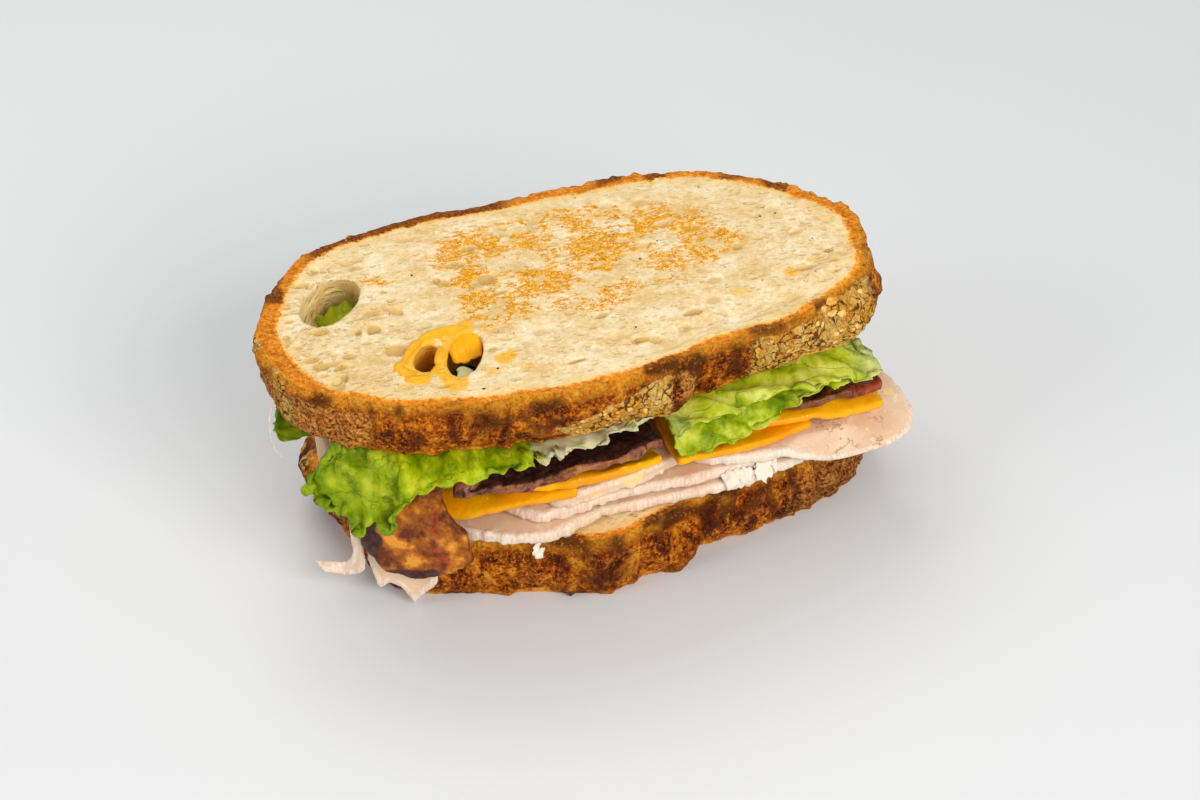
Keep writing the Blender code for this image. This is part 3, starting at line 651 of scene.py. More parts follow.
def fried_bacon():
    """Fried rasher: dark lean, amber fat and a burnt rim, greasy."""
    f = Finish("fried_bacon")
    golden, burnt, red, cut = f.marks("golden", "burnt", "red", "cut")
    place = f.bent(5, 4)
    streak = f.noise(5, 4, 0.6, place)
    seared = f.noise(2.0, 5, 0.72)
    blobs = f.noise(5.5, 3, 0.5, f.bent(3, 1.5))
    fine = f.noise(0.7, 3, 0.7)
    lean = f.ramp(
        0.6 * streak + 0.4 * seared, (0.43, (0.010, 0.003, 0.004)), (0.53, (0.040, 0.007, 0.005)),
        (0.60, (0.14, 0.026, 0.011)), (0.68, (0.32, 0.10, 0.042)),
    )
    fat = f.ramp(
        0.55 * blobs + 0.2 * streak + 0.25 * seared, (0.41, (0.12, 0.022, 0.003)),
        (0.47, (0.28, 0.070, 0.006)), (0.53, (0.48, 0.14, 0.009)), (0.59, (0.80, 0.32, 0.034)),
    )
    meat = f.mix(golden, lean, fat)
    meat = f.mix(fine.between(0.60, 0.74) * (0.15 + 0.3 * golden), meat, (0.70, 0.27, 0.07))
    edge = f.ramp(streak, (0.4, (0.20, 0.050, 0.022)), (0.6, (0.36, 0.13, 0.065)))
    meat = f.mix(cut * seared.between(0.36, 0.56), meat, edge)
    meat = f.mix(red, meat, f.ramp(seared, (0.40, (0.11, 0.012, 0.005)), (0.6, (0.44, 0.060, 0.014))))
    # Darkest where the rasher is burnt; on the front rasher's upper face this darkening is partly painted
    # shade.
    dark = f.ramp(seared, (0.4, (0.022, 0.007, 0.008)), (0.65, (0.11, 0.032, 0.026)))
    meat = f.mix((burnt + 0.9 * seared - 0.45).between(0.15, 0.7), meat, dark)
    bump = f.relief(seared * 0.7 + fine * 0.2 + blobs * 1.2, 0.8)
    f.set(Base_Color=meat, Roughness=0.20 + 0.26 * seared, Normal=bump, Specular_IOR_Level=0.22)
    f.set(Specular_Tint=(1, 0.70, 0.45), Coat_Weight=0.18, Coat_Roughness=0.12)
    return f.material


def fresh_leaf():
    """Lettuce: bright at its margin, pale towards the rib, streaked along its folds, thinly veined."""
    f = Finish("fresh_leaf")
    rim, rib, dark, cream, sunny = f.marks("rim", "rib", "dark", "cream", "sunny")
    cloud = f.noise(8, 4, 0.55)
    sweep = f.noise(3.4, 4, 0.6, f.bent(9, 6, f.stretched(0.9, 0.3, 1.0)))
    tone = 0.5 * cloud + 0.5 * sweep
    green = f.ramp(
        tone, (0.38, (0.10, 0.22, 0.002)), (0.46, (0.30, 0.42, 0.002)), (0.54, (0.52, 0.61, 0.003)),
        (0.62, (0.80, 0.84, 0.040)),
    )
    # Painted light: a brighter copy of the green, mixed in where a leaf lies in the shade of the upper slice.
    bright = f.ramp(
        tone, (0.40, (0.34, 0.47, 0.008)), (0.48, (0.66, 0.73, 0.022)), (0.58, (0.94, 0.95, 0.22))
    )
    green = f.mix(sunny, green, bright)
    green = f.mix(rim.between(1.2, 0.0) * 0.35, green, (0.62, 0.72, 0.05))
    green = f.mix(rib * 0.85, green, (0.84, 0.86, 0.52))
    vein = f.threads(11, 0.55, f.bent(6, 3, f.stretched(0.5, 1.3, 1.0)))
    veinlet = f.threads(3.4, 0.22, f.bent(4, 2))
    green = f.mix(veinlet * 0.10, green, (0.16, 0.29, 0.010))
    green = f.mix(vein * 0.45, green, (0.10, 0.21, 0.010))
    # Painted shade: the green is darkened where a leaf lies in shade, under the crust or deep in a bubble.
    green = f.mix(dark * 0.85, green, (0.060, 0.20, 0.008))
    smears = (cream + f.noise(2.5, 4, 0.65) - 0.5).between(0.35, 0.6)
    green = f.mix(smears * 0.8, green, (0.90, 0.80, 0.56))
    bump = f.relief(sweep * 2.2 + 0.15 * f.noise(1.2, 3, 0.55) - 0.3 * vein, 0.35)
    f.set(Base_Color=green, Roughness=0.30 + 0.1 * cloud, Normal=bump, Specular_IOR_Level=0.26)
    f.set(Specular_Tint=(1, 1, 0.6))
    return f.glow_through(green, 0.32).material


def crust_flake():
    """Golden flakes of crust, floured here and there."""
    f = Finish("crust_flake")
    tint, grit = f.noise(3, 3, 0.6), f.noise(0.5, 3, 0.7)
    flake = f.ramp(tint, (0.40, (0.62, 0.24, 0.030)), (0.5, (0.86, 0.42, 0.08)), (0.6, (0.98, 0.64, 0.24)))
    flake = f.mix(grit.between(0.46, 0.34) * 0.5, flake, (0.36, 0.13, 0.02))
    f.set(Base_Color=flake, Roughness=0.8, Normal=f.relief(grit, 0.25), Specular_IOR_Level=0.15)
    return f.material


def plain_floor():
    """Pale and plain, with the faintest clouding."""
    f = Finish("pale_floor")
    pale = f.ramp(f.noise(400, 2, 0.5), (0.2, (0.725, 0.735, 0.745)), (0.8, (0.745, 0.755, 0.765)))
    return f.set(Base_Color=pale, Roughness=0.55).material


# ---- bread


def outline_table(points, angles=300, levels=8):
    """The slice's reach from its middle at each angle and height, and a function that reads it."""
    middle = (points.min(0) + points.max(0)) / 2
    low, high = points[:, 2].min(), points[:, 2].max()
    x, y = (points - middle)[:, :2].T
    turn = np.arctan2(y, x) / (2 * math.pi) % 1
    height = np.clip((points[:, 2] - low) / (high - low), 0, 1)
    table = np.zeros((levels, angles))
    rows = np.minimum((height * levels).astype(int), levels - 1)
    columns = (turn * angles).astype(int) % angles
    np.maximum.at(table, (rows, columns), np.hypot(x, y))
    table = np.maximum(table, np.maximum(np.roll(table, 1, 1), np.roll(table, -1, 1)) * 0.995)
    table = (np.roll(table, 1, 1) + 2 * table + np.roll(table, -1, 1)) / 4

    def reach(where):
        px, py = (where - middle)[:, :2].T
        column = (np.arctan2(py, px) / (2 * math.pi) % 1) * angles - 0.5
        row = np.clip((where[:, 2] - low) / (high - low) * levels - 0.5, 0, levels - 1)
        c0, r0 = np.floor(column).astype(int), np.floor(row).astype(int)
        fc, fr = column - c0, row - r0
        r1 = np.minimum(r0 + 1, levels - 1)
        near = table[r0, c0 % angles] * (1 - fc) + table[r0, (c0 + 1) % angles] * fc
        far = table[r1, c0 % angles] * (1 - fc) + table[r1, (c0 + 1) % angles] * fc
        full = near * (1 - fr) + far * fr
        slope = (table[r0, (c0 + 1) % angles] - table[r0, c0 % angles]) * angles / (2 * math.pi)
        return (full - np.hypot(px, py)) / np.sqrt(1 + (slope / full) ** 2)

    return reach


def spots(points, places, low=0.45, high=1.1):
    """The strongest of scattered ellipses at each point: centre, radii, turn, strength."""
    found = np.zeros(len(points))
    for centre, radii, turn, strength in places:
        found = np.maximum(found, strength * fade(in_ellipse(points, centre, radii, turn), low, high))
    return found


def bread_pores(points, bread_face, upper):
    """Depth of the crumb's open pores, in millimetres."""
    hollow = np.zeros(len(points))
    if upper:
        wobble = points + 0.35 * lumps(points, 3, 4)[:, None]
        hollow = spots(wobble, POCKETS, 0.3, 1.1) * (points[:, 2] > FACE_LOW - 2)
    near_left = ease(-points[:, 0], 44, 74) * upper
    stretched = points * (0.85, 1.2, 0)
    for size, share, depth, seed in ((9, 0.35, 0.9, 3), (4.4, 0.38, 0.65, 8), (2.3, 0.5, 0.5, 21)):
        distance, owner = nests(stretched, size, seed + 5 * (not upper), share, flat=True)
        radius = (0.11 + 0.17 * owner) * (1 + 0.3 * near_left)
        dent = depth * (0.5 + 0.5 * owner) * fade(distance, radius * 0.5, radius * 1.2)
        hollow = np.maximum(hollow, dent * (0.55 + 0.45 * near_left))
    return 1.3 * hollow * bread_face


def bread_crust(points, z, front, x, upper):
    """How floured, grey, charred the crust is at each point, and the height of its big furrows."""
    flour, grey = np.zeros(len(points)), np.zeros(len(points))
    char = ease(lumps(points, (10, 10, 7), 61, 2), 0.15, 0.7)
    furrow = np.zeros(len(points))
    if upper:
        left_plate = ease(x + 0.8 * (z - 50), -17, -11) * fade(x, 8, 14)
        left_plate *= fade(z - 0.25 * x, 59, 62)
        right_plate = ease(x, 32, 40) * fade(x, 68, 78) * fade(z - 0.04 * x, 60.5, 63.5)
        flour = front * (left_plate + right_plate)
        flour += 0.3 * ease(x, 72, 80) * ease(lumps(points, 6, 66), -0.1, 0.5)
        flour += 0.7 * fade(x, -80.5, -76) * ease(lumps(points, (5, 5, 12), 68), -0.2, 0.4)
        grey = front * fade(x, -64, -60) * fade(z, 61, 64.5)
        grey += 0.9 * front * np.exp(-(((x - 16.5 + 0.25 * (z - 58)) / 2.6) ** 2)) * fade(z, 62, 65)
        for place, width, level, tall in BURNT_BARS:
            mark = front * np.exp(-(((x - place) / width) ** 2) - (((z - level) / tall) ** 2))
            char = np.maximum(char * (1 - 0.5 * flour), mark)
            furrow -= 1.0 * mark
        back_edge = (points[:, 1] > 18) * ease(x, -66, -58) * fade(x, -8, 4)
        char = np.maximum(char, back_edge)
    else:
        ear = front * np.exp(-(((x - 13.5 - 0.95 * z) / 3.0) ** 2))
        valley = front * np.exp(-(((x - 21 - 0.95 * z) / 2.8) ** 2))
        low_dark = front * np.exp(-(((x + 7) / 7) ** 2) - (((z - 7) / 6) ** 2))
        char = np.maximum(char, np.maximum(0.5 * ear, 0.9 * low_dark))
        furrow = 2.0 * ear - 1.2 * valley
        bars = 0.9 * ease(np.sin(x * 0.85 + 0.2 * z), 0.2, 0.8) * ease(x, 32, 42)
        char = np.maximum(char, front * np.maximum(bars, 0.75 * ease(x, 52, 64))) * (1 - 0.9 * valley)
        furrow = furrow - 0.7 * front * bars
        grey = 0.5 * front * ease(x, 42, 56) + 0.3 * front * fade(x, -44, -36)
        flour = 0.6 * fade(x, -68, -62) * ease(z, 8, 14) * ease(lumps(points, 4, 67), 0.0, 0.5)
    flour = flour + 0.55 * ease(lumps(points, (14, 14, 10), 63), 0.35, 0.8) * (points[:, 1] > 10)
    return np.clip(flour, 0, 1), np.clip(grey, 0, 1), char, furrow


def dress_bread(node, name, grain, upper, finish):
    bread = Dressed(node, name, grain=grain, smooth=3)
    points = bread.points
    x, y, z = points.T
    low, high = z.min(), z.max()
    inset = outline_table(points)(points)
    flat = np.abs(bread.normals[:, 2])
    faces_up = ease(bread.normals[:, 2], 0.5, 0.8)
    upright = fade(flat, 0.62, 0.86)
    wall = np.maximum(fade(inset, 0.6, 1.5), upright * fade(inset, 3.5, 5.5))
    away = np.maximum(ease(y, -20, -4), ease(-x, 62, 74) * ease(y, -32, -20))
    if upper:
        shoulder = ease(x, 44, 62) * (y < 2)
        wall = np.maximum(wall, shoulder * fade(inset, 1.6, 2.8))
    drop = np.minimum(high - z, (1.5 if upper else 1.2) * (z - low) + 2.0)
    # Walls of the bubbles below the crumb face: they get painted light, and carry the run-in cheddar.
    pit = ease(high - z, 0.9, 4.5) * (inset > 4.5) * fade(flat, 0.7, 0.9) * upper
    bread_face = (1 - wall) * ease(flat, 0.6, 0.9)
    hollow = bread_pores(points, bread_face, upper)

    fibres = 0.11 * lumps(points, (3.0, 2.6, 3), 12, 3)
    near_front = ease(x, 4, 14) * fade(x, 66, 74) * (y < 0)
    near_front = near_front * fade(inset, 11, 15) * ease(inset, 1.5, 4)
    along_rim = lumps(np.stack([x * 0.16, inset, z], axis=1), (1.6, 1.7, 30), 14, 2)
    fibres += 0.42 * near_front * along_rim * upper
    flour, grey, char, furrow = bread_crust(points, z, y < 0, x, upper)
    rough = 0.55 * lumps(points, (7, 7, 6), 41, 2) + 0.32 * lumps(points, (2.6, 2.6, 3.4), 43, 2)
    rough += 0.2 * lumps(points, 1.3, 44)
    rough += 0.6 * lumps(points, (3.6, 3.6, 13), 48) * ease(lumps(points, 15, 50), -0.2, 0.4)
    rough += 0.30 * flour * np.abs(lumps(points, 2.4, 49, 2))
    creases = lumps(points + 2 * lumps(points, 9, 47)[:, None], (4.5, 4.5, 16), 45)
    rough -= 0.7 * fade(np.abs(creases), 0.0, 0.2) * ease(lumps(points, 14, 46), -0.1, 0.5)

    toast, cheese = np.zeros(len(points)), np.zeros(len(points))
    if upper:
        toast = spots(points, TOAST, 0.35, 1.15) * faces_up * (z > FACE_LOW)
        jitter = 0.9 * lumps(points, 3.2, 71, 2)[:, None] * (1, 1, 0)
        cheese = spots(points + jitter, CHEESE_STAINS, 0.4, 1.1) * faces_up * (z > FACE_LOW)
        for centre, radii, turn in CHEESE_BUBBLES:
            edge = (in_ellipse(points, centre, radii, turn) - 1) * min(radii)
            coated = ease(y - centre[1], -2, 4) * ease(z, 50, 56) + (x < centre[0] - 1)
            cheese = np.maximum(cheese, 0.9 * np.clip(pit * fade(edge, 2.5, 4) * coated, 0, 1))
            ragged = edge + 0.7 * lumps(points, 2.4, 73, 2)
            past = ease(x - centre[0] - 0.35 * (y - centre[1]), 0.5, 2.5)
            cheese = np.maximum(cheese, fade(ragged, 1.7, 2.9) * (z > FACE_BARE) * (1 - past))
    else:
        toast = 0.95 * (bread.normals[:, 2] < -0.5) * spots(points, (((2, 0), (66, 36), 4, 1),), 0.5, 1.1)
    bread.swell(wall * (rough + furrow) + bread_face * fibres - hollow)

    airy = np.clip(ease(-x, 34, 64) + 0.3 * ease(x, 40, 60), 0, 1)
    inset = inset - 2.0 * away - 1.4 * ease(-x, 68, 79)
    bread.mark(inset=inset, wall=wall, drop=drop, hollow=hollow, pit=pit, airy=airy)
    bread.mark(toast=toast, flour=flour, grey=grey, char=char, cheese=cheese)
    bread.place(finish, "crumb" if upper else "crust")
    return bread


# ---- fillings


def dress_turkey(node, finish):
    thin = node in ("turkey_flap", "turkey_shred", "turkey_fold")
    right_end = node == "turkey_upper_right"
    meat = Dressed(node, node + "_meat", grain=THIN_TURKEY_GRAIN if thin else TURKEY_GRAIN, smooth=2)
    points = meat.points
    x, y = points[:, 0], points[:, 1]
    rim = meat.from_rim()
    torn = fade(rim, 0, 2.6) * lumps(points, (1.9, 1.9, 4), 5, 2)
    torn = torn * (1 - 0.85 * right_end * ease(x, 52, 62))
    meat.swell(0.22 * lumps(points, (14, 14, 8), 2) + (0.22 if thin else 0.5) * torn)
    greasy = 0
    if node == "turkey_upper_left":
        patchy = ease(lumps(meat.points, (6, 3, 4), 9), -0.3, 0.3)
        greasy = ease(x, -13, -9) * fade(x, 6, 12) * ease(-y, 31, 35) * patchy
    if right_end:
        greasy = 0.9 * (in_ellipse(meat.points, (80, -24), (2, 1.4), 0) < 1) + 0.35 * ease(x, 78, 86)
    meat.mark(rim=rim, greasy=greasy)
    meat.mark(cracked=ease(x, 52, 60) * fade(x, 76, 82) * ease(-y, 20, 28) * right_end)
    meat.mark(pale=0.6 * fade(rim, 1, 3) * ease(x, 20, 30) * fade(x, 50, 60) * (y < 0))
    meat.place(finish, "turkey")
    return meat


def dress_cheese(node, finish):
    slice_ = Dressed(node, node + "_slice", grain=CHEESE_GRAIN, smooth=11)
    rim = slice_.from_rim()
    slice_.swell(0.30 * lumps(slice_.points, (11, 11, 7), 3) + 0.12 * lumps(slice_.points, 3.5, 4))
    slice_.points[:, 2] += 0.55 * lumps(slice_.points * (1, 1, 0), 13, 6) * fade(rim, 1, 9)
    slice_.write()
    slice_.mark(rim=rim)
    slice_.place(finish, "cheddar")


def dress_bacon(node, finish):
    rasher = Dressed(node, node + "_rasher", grain=BACON_GRAIN, smooth=2)
    points = rasher.points
    x, y, z = points.T
    rim = rasher.from_rim()
    cut = ease(-rasher.normals[:, 1], 0.25, 0.7)
    wrinkle = 0.45 * lumps(points, (4, 10, 7), 11, 2) + 0.14 * lumps(points, 2.0, 12, 2)
    rasher.swell(wrinkle + 0.4 * fade(rim, 0, 2.5) * lumps(points, 2.8, 13))
    golden, burnt, red = np.full(len(x), 0.12), np.zeros(len(x)), np.zeros(len(x))
    if node == "bacon_left":
        hanging = fade(z, 33, 38)
        across = 0.88 * (x + 52.6) - 0.47 * (y + 36.6) + 0.8 * lumps(points, 4, 15)
        golden = 0.15 + 0.85 * hanging
        red = 0.8 * hanging * np.exp(-(((across - 5.6 + 0.12 * (z - 24)) / 1.5) ** 2))
        cut = cut * (1 - hanging)
        burnt = hanging * np.maximum(fade(across, -10.5, -7.5), fade(z - 0.12 * across, 13.6, 15.6))
        burnt = burnt * fade(across, 4, 7)
    elif node == "bacon_front":
        golden = 0.5 * cut * ease(lumps(points, 6, 16), 0.0, 0.6)
        # The upper face of this rasher, under the lettuce, is darkened: partly its seared colour, partly
        # painted shade.
        burnt = 0.5 * (1 - cut)
    elif node == "bacon_right":
        golden = 0.25 * fade(x, 58, 66)
        red = 0.85 * ease(x, 60, 67)
        cut = 0.6 * cut
    rasher.mark(golden=golden, burnt=burnt, red=red, cut=cut)
    rasher.place(finish, "bacon")


def nowhere(x):
    return 0 * x


def dress_leaf(node, finish, flute, frill, along=(1, 0), sunny=0.0, dark=nowhere, rib=nowhere, cream=nowhere):
    """Flute: size and height of the folds along the margin. Frill: the ruffle's, and how ragged it is."""
    leaf = Dressed(node, node + "_leaf", levels=3, smooth=0)
    points = leaf.points
    rim = leaf.from_rim(20)
    run = points[:, 0] * along[0] + points[:, 1] * along[1] + 3.2 * lumps(points * (1, 0.5, 1), 12, 22)
    fold = np.sin(run * 2 * math.pi / flute[0]) * (0.65 + 0.6 * lumps(points, 11, 24))
    fold += 0.8 * lumps(points * (1, 0.35, 0.35), 0.8 * flute[0], 26)
    fine = lumps(np.stack([run, points[:, 1] * 0.3, points[:, 2] * 0.3], axis=1), frill[0], 29, 2)
    puckers = lumps(points, (7, 5, 5), 37, 2)
    lift = flute[1] * fold * fade(rim, 3, 22) + frill[1] * fine * fade(rim, 0, 5) + 0.15 * puckers
    # Both faces of the thin leaf move the same way, along its upper face's normal.
    up = np.where(leaf.normals[:, 2:3] < 0, -1, 1) * leaf.normals
    margin = fade(rim, 0, 3.2)[:, None]
    ragged = np.stack([lumps(points, 1.5 * frill[0], 51 + axis, 2) for axis in range(3)], axis=1)
    leaf.points = points + up * lift[:, None] + frill[2] * margin * ragged - 0.25 * margin * leaf.normals
    leaf.write()
    x = points[:, 0]
    leaf.mark(rim=rim, sunny=sunny, rib=rib(x), dark=dark(x), cream=cream(x))
    leaf.place(finish, "lettuce")


# ---- small things


def melted_cheese(finish):
    """Cheddar that has run up through two bubbles of the upper slice and over their rims."""
    work = bmesh.new()
    count = 0
    for run in CHEESE_RUNS:
        places = np.array(run)
        for start, stop in zip(places, places[1:]):
            steps = max(2, int(np.linalg.norm(stop[:3] - start[:3]) / 0.35))
            for share in np.linspace(0, 1, steps):
                x, y, z, size = start + (stop - start) * share
                wide = size * (1 + 0.22 * float(lumps(np.array([[x, y, z]]), 2.5, 81)[0]))
                pebble(work, (x, y, z - 0.4), (1.25 * wide, 1.25 * wide, 0.62 * wide), seed=count, detail=1)
                count += 1
    from_pebbles("cheddar_melted", work, finish, fused=0.32, calm=8)


def leaf_rib(finish):
    """The pale end of a leaf that shows in the larger bubble."""
    work = bmesh.new()
    for k, (x, y, z, a, b) in enumerate((
        (-36.9, -30.2, 64.0, 2.4, 2.2), (-35.7, -27.4, 63.0, 2.4, 2.6), (-34.6, -24.4, 61.6, 2.2, 2.4),
    )):
        pebble(work, (x, y, z), (a, b, 0.8), (0.35, 0.15, 0.5 * k), 0.18, k, 3)
    mark_points(from_pebbles("lettuce_rib", work, finish, fused=0.35, calm=4).data, rib=1)


def leaf_in_bubble(finish):
    """The leaf that shows at the bottom of the bubble at the left."""
    across, deep = 30, 24
    x, y = np.meshgrid(np.linspace(-62.5, -48, across), np.linspace(0, 17, deep))
    flat = np.stack([x.ravel(), y.ravel(), np.zeros(x.size)], axis=1)
    level = 59.2 + 0.5 * np.sin(flat[:, 0] * 1.7 + 0.4 * flat[:, 1]) + 0.8 * lumps(flat, 3.2, 91, 2)
    near_edge = fade(flat[:, 0], -62.5, -56.5)
    flat[:, 0] += 1.6 * near_edge * lumps(flat, 2.6, 92, 2)
    flat[:, 1] += 1.4 * ease(flat[:, 1], 12, 17) * lumps(flat, 2.8, 93, 2)
    flat[:, 2] = level + 0.22 * (flat[:, 1] - 9) - 3.5 * near_edge
    corner = [row * across + column for row in range(deep - 1) for column in range(across - 1)]
    faces = [(k, k + 1, k + across + 1, k + across) for k in corner]
    # The leaf in the bubble is darkened with painted shade.
    mark_points(loose_piece("lettuce_in_bubble", flat, faces, finish).data, rim=5, dark=0.35)


def crumb_ledge(finish):
    """Crumb that closes the far left of the bubble from below."""
    work = bmesh.new()
    for k, (x, y, z, a, b, c) in enumerate((
        (-69.0, 11.0, 52.0, 6.5, 9.0, 6.0),
        (-64.0, 20.0, 50.0, 8.0, 6.0, 6.5),
        (-70.0, 3.0, 52.5, 6.0, 6.0, 6.0),
    )):
        pebble(work, (x, y, z), (a, b, c), (0, 0, 0.3 * k), 0.12, k, 3)
    made = from_pebbles("crumb_ledge", work, finish, fused=0.8, calm=4)
    # The ledge gets the bubble walls' painted light too.
    mark_points(made.data, inset=20, pit=0.6, airy=1)


def skin_of(dressed):
    return BVHTree.FromObject(dressed.object, bpy.context.evaluated_depsgraph_get())


def on_front(skins, x, z, out):
    """The foremost place on some surfaces at a width and height, a little off it, and its normal there."""
    shift = Vector(SHIFT)
    start = (Vector((x, -80, z)) + shift) * MM
    hits = [skin.ray_cast(start, Vector((0, 1, 0))) for skin in skins]
    place, normal, *_ = min((hit for hit in hits if hit[0]), key=lambda hit: hit[0].y)
    return place / MM - shift + normal * out, normal


def on_crumb(skin, x, y):
    """The place on the crumb face below which a point in the plan lies, or nothing off the face."""
    shift = Vector(SHIFT)
    hit, *_ = skin.ray_cast((Vector((x, y, 90)) + shift) * MM, Vector((0, 0, -1)))
    return hit / MM - shift if hit and hit.z > FACE_BARE * MM else None


def crust_flakes(upper, finish):
    """Loose flakes of crust and flour on the right front of the upper slice."""
    skin = skin_of(upper)
    work = bmesh.new()
    rng = np.random.default_rng(5)
    places = [(60.0, 65.0, 1.9), (57.2, 64.4, 1.5), (59.8, 62.2, 1.6), (63.2, 60.6, 1.7), (56.0, 61.6, 1.2)]
    places += [(rng.uniform(40, 72), rng.uniform(53, 63), rng.uniform(0.5, 1.0)) for _ in range(26)]
    places += [(rng.uniform(-14, 8), rng.uniform(52, 58), rng.uniform(0.4, 0.9)) for _ in range(18)]
    for k, (x, z, size) in enumerate(places):
        place, normal = on_front([skin], x, z, 0.05)
        turn = normal.to_track_quat("Z", "Y").to_euler()
        pebble(work, place, (size, size * rng.uniform(0.5, 0.8), 0.32), turn, 0.25, k)
    from_pebbles("crust_flakes", work, finish)


def torn_petals(slices, lower, finish):
    """White shreds that stand off the front edge of the turkey, and one that fell on the lower crust."""
    crust = [skin_of(lower)]
    work = bmesh.new()
    rng = np.random.default_rng(11)
    for k, x in enumerate(np.linspace(29, 43, 9)):
        lean = rng.uniform(-0.45, 0.45)
        edge, _ = on_front(slices, x + rng.uniform(-0.6, 0.6), 21.2, 0)
        size = rng.uniform(0.7, 1.2)
        radii = (1.3 * size, 0.6, 2.2 * size)
        pebble(work, edge + Vector((0, 0.2, 2.2)), radii, (-0.5, lean, 0.8 * lean), 0.6, k)
    for k, (x, z) in enumerate(((-22.4, 17.6), (-21.8, 16.2), (-22.6, 14.8), (-23.4, 15.6), (-23.0, 17.0))):
        spot, _ = on_front(crust, x, z, 0.15)
        pebble(work, spot, (1.1, 0.35, 1.1), (0.2, 0.7 * k, 0.2), 0.3, 40 + k)
    mark_points(from_pebbles("turkey_petals", work, finish, fused=0.28, calm=2).data, pale=1)


def charred_bits(upper, slices, finish):
    """A red-brown flake on the turkey, and tiny dark specks on the crumb."""
    skin = skin_of(upper)
    rng = np.random.default_rng(23)
    work = bmesh.new()
    for k, (x, z, size) in enumerate(((46.6, 25.6, 1.3), (45.7, 24.9, 0.8))):
        pebble(work, on_front(slices, x, z, 0.1)[0], (size, 0.5, 0.8 * size), (0.3, 0.4 + k, 0.2), 0.35, k)
    places = list(CHARRED_SPECKS)
    places += [(rng.uniform(-70, 70), rng.uniform(-34, 34)) for _ in range(26)]
    for k, (x, y) in enumerate(places):
        spot = on_crumb(skin, x, y)
        if spot:
            size = 0.42 if k < len(CHARRED_SPECKS) else rng.uniform(0.16, 0.3)
            pebble(work, spot, (size, size * 0.8, size * 0.5), (0, 0, k), 0.3, 60 + k, 1)
    from_pebbles("charred_bits", work, finish)


def crumbs(upper, finish):
    """Toasted crumbs scattered over the crumb face."""
    skin = skin_of(upper)
    rng = np.random.default_rng(31)
    work = bmesh.new()
    for k in range(70):
        spot = on_crumb(skin, rng.uniform(-76, 76), rng.uniform(-38, 38))
        if spot:
            size = rng.uniform(0.15, 0.4)
            pebble(work, spot, (size, size, size * 0.7), (k, 0, k), 0.3, k, 1)
    from_pebbles("toast_crumbs", work, finish)


def hanging_thread(finish):
    """A thin pale thread of meat that hangs at the left end."""
    work = bmesh.new()
    for k, share in enumerate(np.linspace(0, 1, 60)):
        spot = [np.interp(share, np.linspace(0, 1, len(THREAD)), axis) for axis in zip(*THREAD)]
        pebble(work, spot, (0.34 - 0.12 * share,) * 3, seed=k, detail=1)
    from_pebbles("turkey_thread", work, finish, fused=0.2, calm=6)


# ---- stage


def look_from(place, direction, lens):
    camera = linked("camera", bpy.data.cameras.new("camera"))
    camera.data.lens = lens
    camera.data.clip_end = 20
    camera.location = place
    camera.rotation_mode = "QUATERNION"
    camera.rotation_quaternion = Vector(direction).to_track_quat("-Z", "Y")
    bpy.context.scene.camera = camera


def soft_light(name, place, size, power, colour=(1, 1, 1)):
    lamp = bpy.data.lights.new(name, "AREA")
    lamp.shape = "RECTANGLE"
    lamp.size, lamp.size_y = size
    lamp.energy = power
    lamp.color = colour
    made = linked(name, lamp)
    made.location = place
    made.rotation_euler = (Vector((0, 0, 0.03)) - Vector(place)).to_track_quat("-Z", "Y").to_euler()


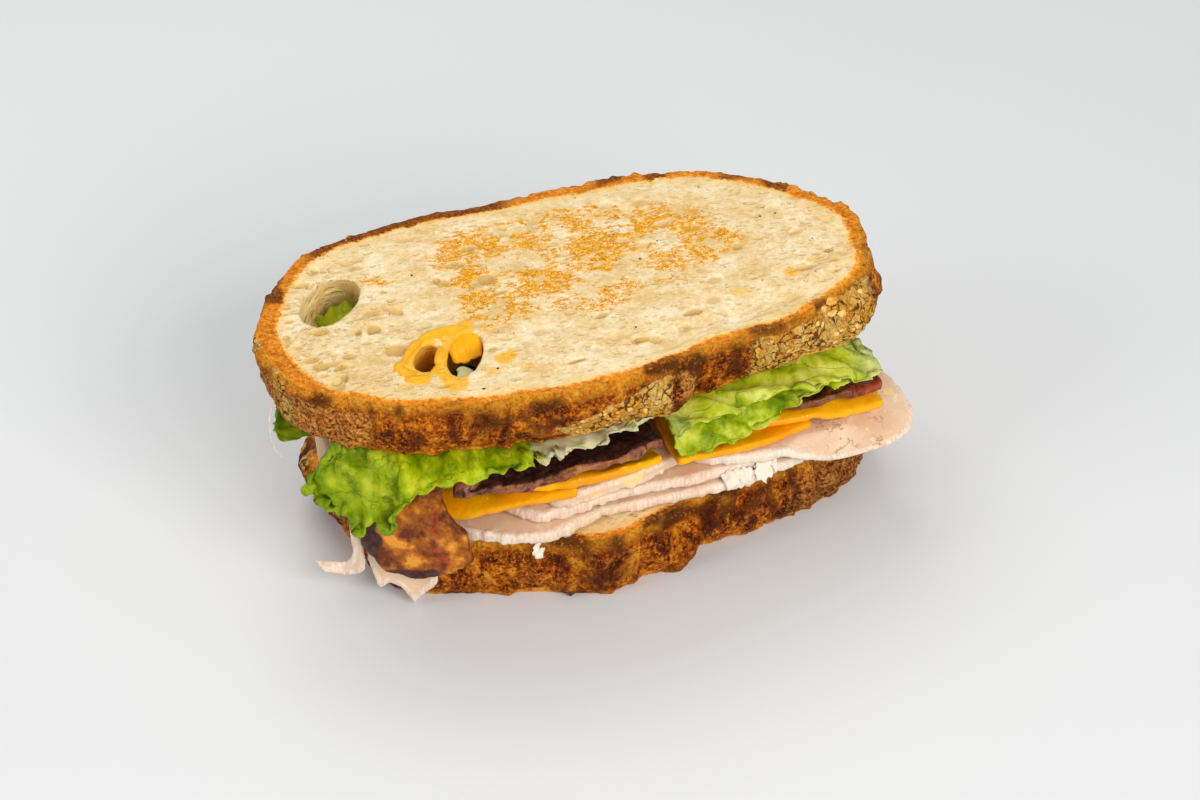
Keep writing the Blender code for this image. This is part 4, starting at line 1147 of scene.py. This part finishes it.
def build_stage():
    low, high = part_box("bread_upper")
    middle = (low + high) / 2
    look_from(middle + Vector((-0.1739, -0.5263, 0.36895)), (0.2645, 0.7682, -0.5830), 78)
    mesh = bpy.data.meshes.new("floor")
    work = bmesh.new()
    bmesh.ops.create_grid(work, x_segments=2, y_segments=2, size=3)
    work.to_mesh(mesh)
    work.free()
    mesh.materials.append(plain_floor())
    floor = linked("floor", mesh)
    floor.location.z = -0.0002
    world = bpy.data.worlds.new("studio")
    world.use_nodes = True
    air = world.node_tree.nodes["Background"].inputs
    air["Color"].default_value = (0.93, 0.96, 1.0, 1)
    air["Strength"].default_value = 0.42
    bpy.context.scene.world = world
    bpy.context.scene.view_settings.view_transform = "Standard"
    soft_light("key", (-0.15, 0.7, 1.1), (0.9, 0.7), 6.0, (1, 0.97, 0.91))
    soft_light("front", (0.25, -1.1, 0.7), (0.8, 0.6), 13.5, (1, 0.975, 0.94))
    soft_light("left", (-1.1, -0.2, 0.6), (0.6, 0.6), 3.6)


def main():
    build_stage()
    bread = toasted_bread()
    lower = dress_bread("bread_lower", "slice_lower", BREAD_LOWER_GRAIN, False, bread)
    upper = dress_bread("bread_upper", "slice_upper", BREAD_UPPER_GRAIN, True, bread)
    meat, paste, rasher, leaf = sliced_turkey(), cheddar_slice(), fried_bacon(), fresh_leaf()
    slices = []
    for node in sorted(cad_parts):
        if node.startswith("turkey"):
            slices.append(skin_of(dress_turkey(node, meat)))
        elif node.startswith("cheese"):
            dress_cheese(node, paste)
        elif node.startswith("bacon"):
            dress_bacon(node, rasher)
    dress_leaf(
        "lettuce_left", leaf, (6.0, 1.4), (1.9, 0.8, 1.3), rib=lambda x: ease(x, -8, 6),
        # Its far left end is darkened with painted shade.
        dark=lambda x: 0.42 * fade(x, -64, -54),
        cream=lambda x: 0.75 * ease(x, -30, -18) * fade(x, -2, 6),
    )
    # The right leaves get painted light against the shade of the upper slice.
    dress_leaf(
        "lettuce_right_upper", leaf, (8.0, 1.3), (2.2, 0.6, 0.8), (0.5, 0.87), 0.85,
        rib=lambda x: 0.55 * ease(x, 64, 74) + 0.35 * fade(x, 12, 20),
    )
    dress_leaf(
        "lettuce_right_lower", leaf, (7.0, 0.9), (2.0, 0.5, 0.9), (0.6, 0.8), 0.5,
        rib=lambda x: 0.5 * ease(x, 60, 70),
    )
    # This leaf is darkened all over with painted shade.
    dress_leaf("lettuce_back_left", leaf, (4.5, 0.6), (2.0, 0.35, 0.9), (0, 1), dark=lambda x: 0.6 + 0 * x)
    dress_leaf("lettuce_back", leaf, (7.0, 1.0), (2.6, 0.4, 0.9))
    leaf_in_bubble(leaf)
    crumb_ledge(bread)
    melted_cheese(paste)
    leaf_rib(leaf)
    flake = crust_flake()
    crust_flakes(upper, flake)
    torn_petals(slices, lower, meat)
    charred_bits(upper, slices, rasher)
    crumbs(upper, flake)
    hanging_thread(meat)


SHIFT = plan_shift()
main()
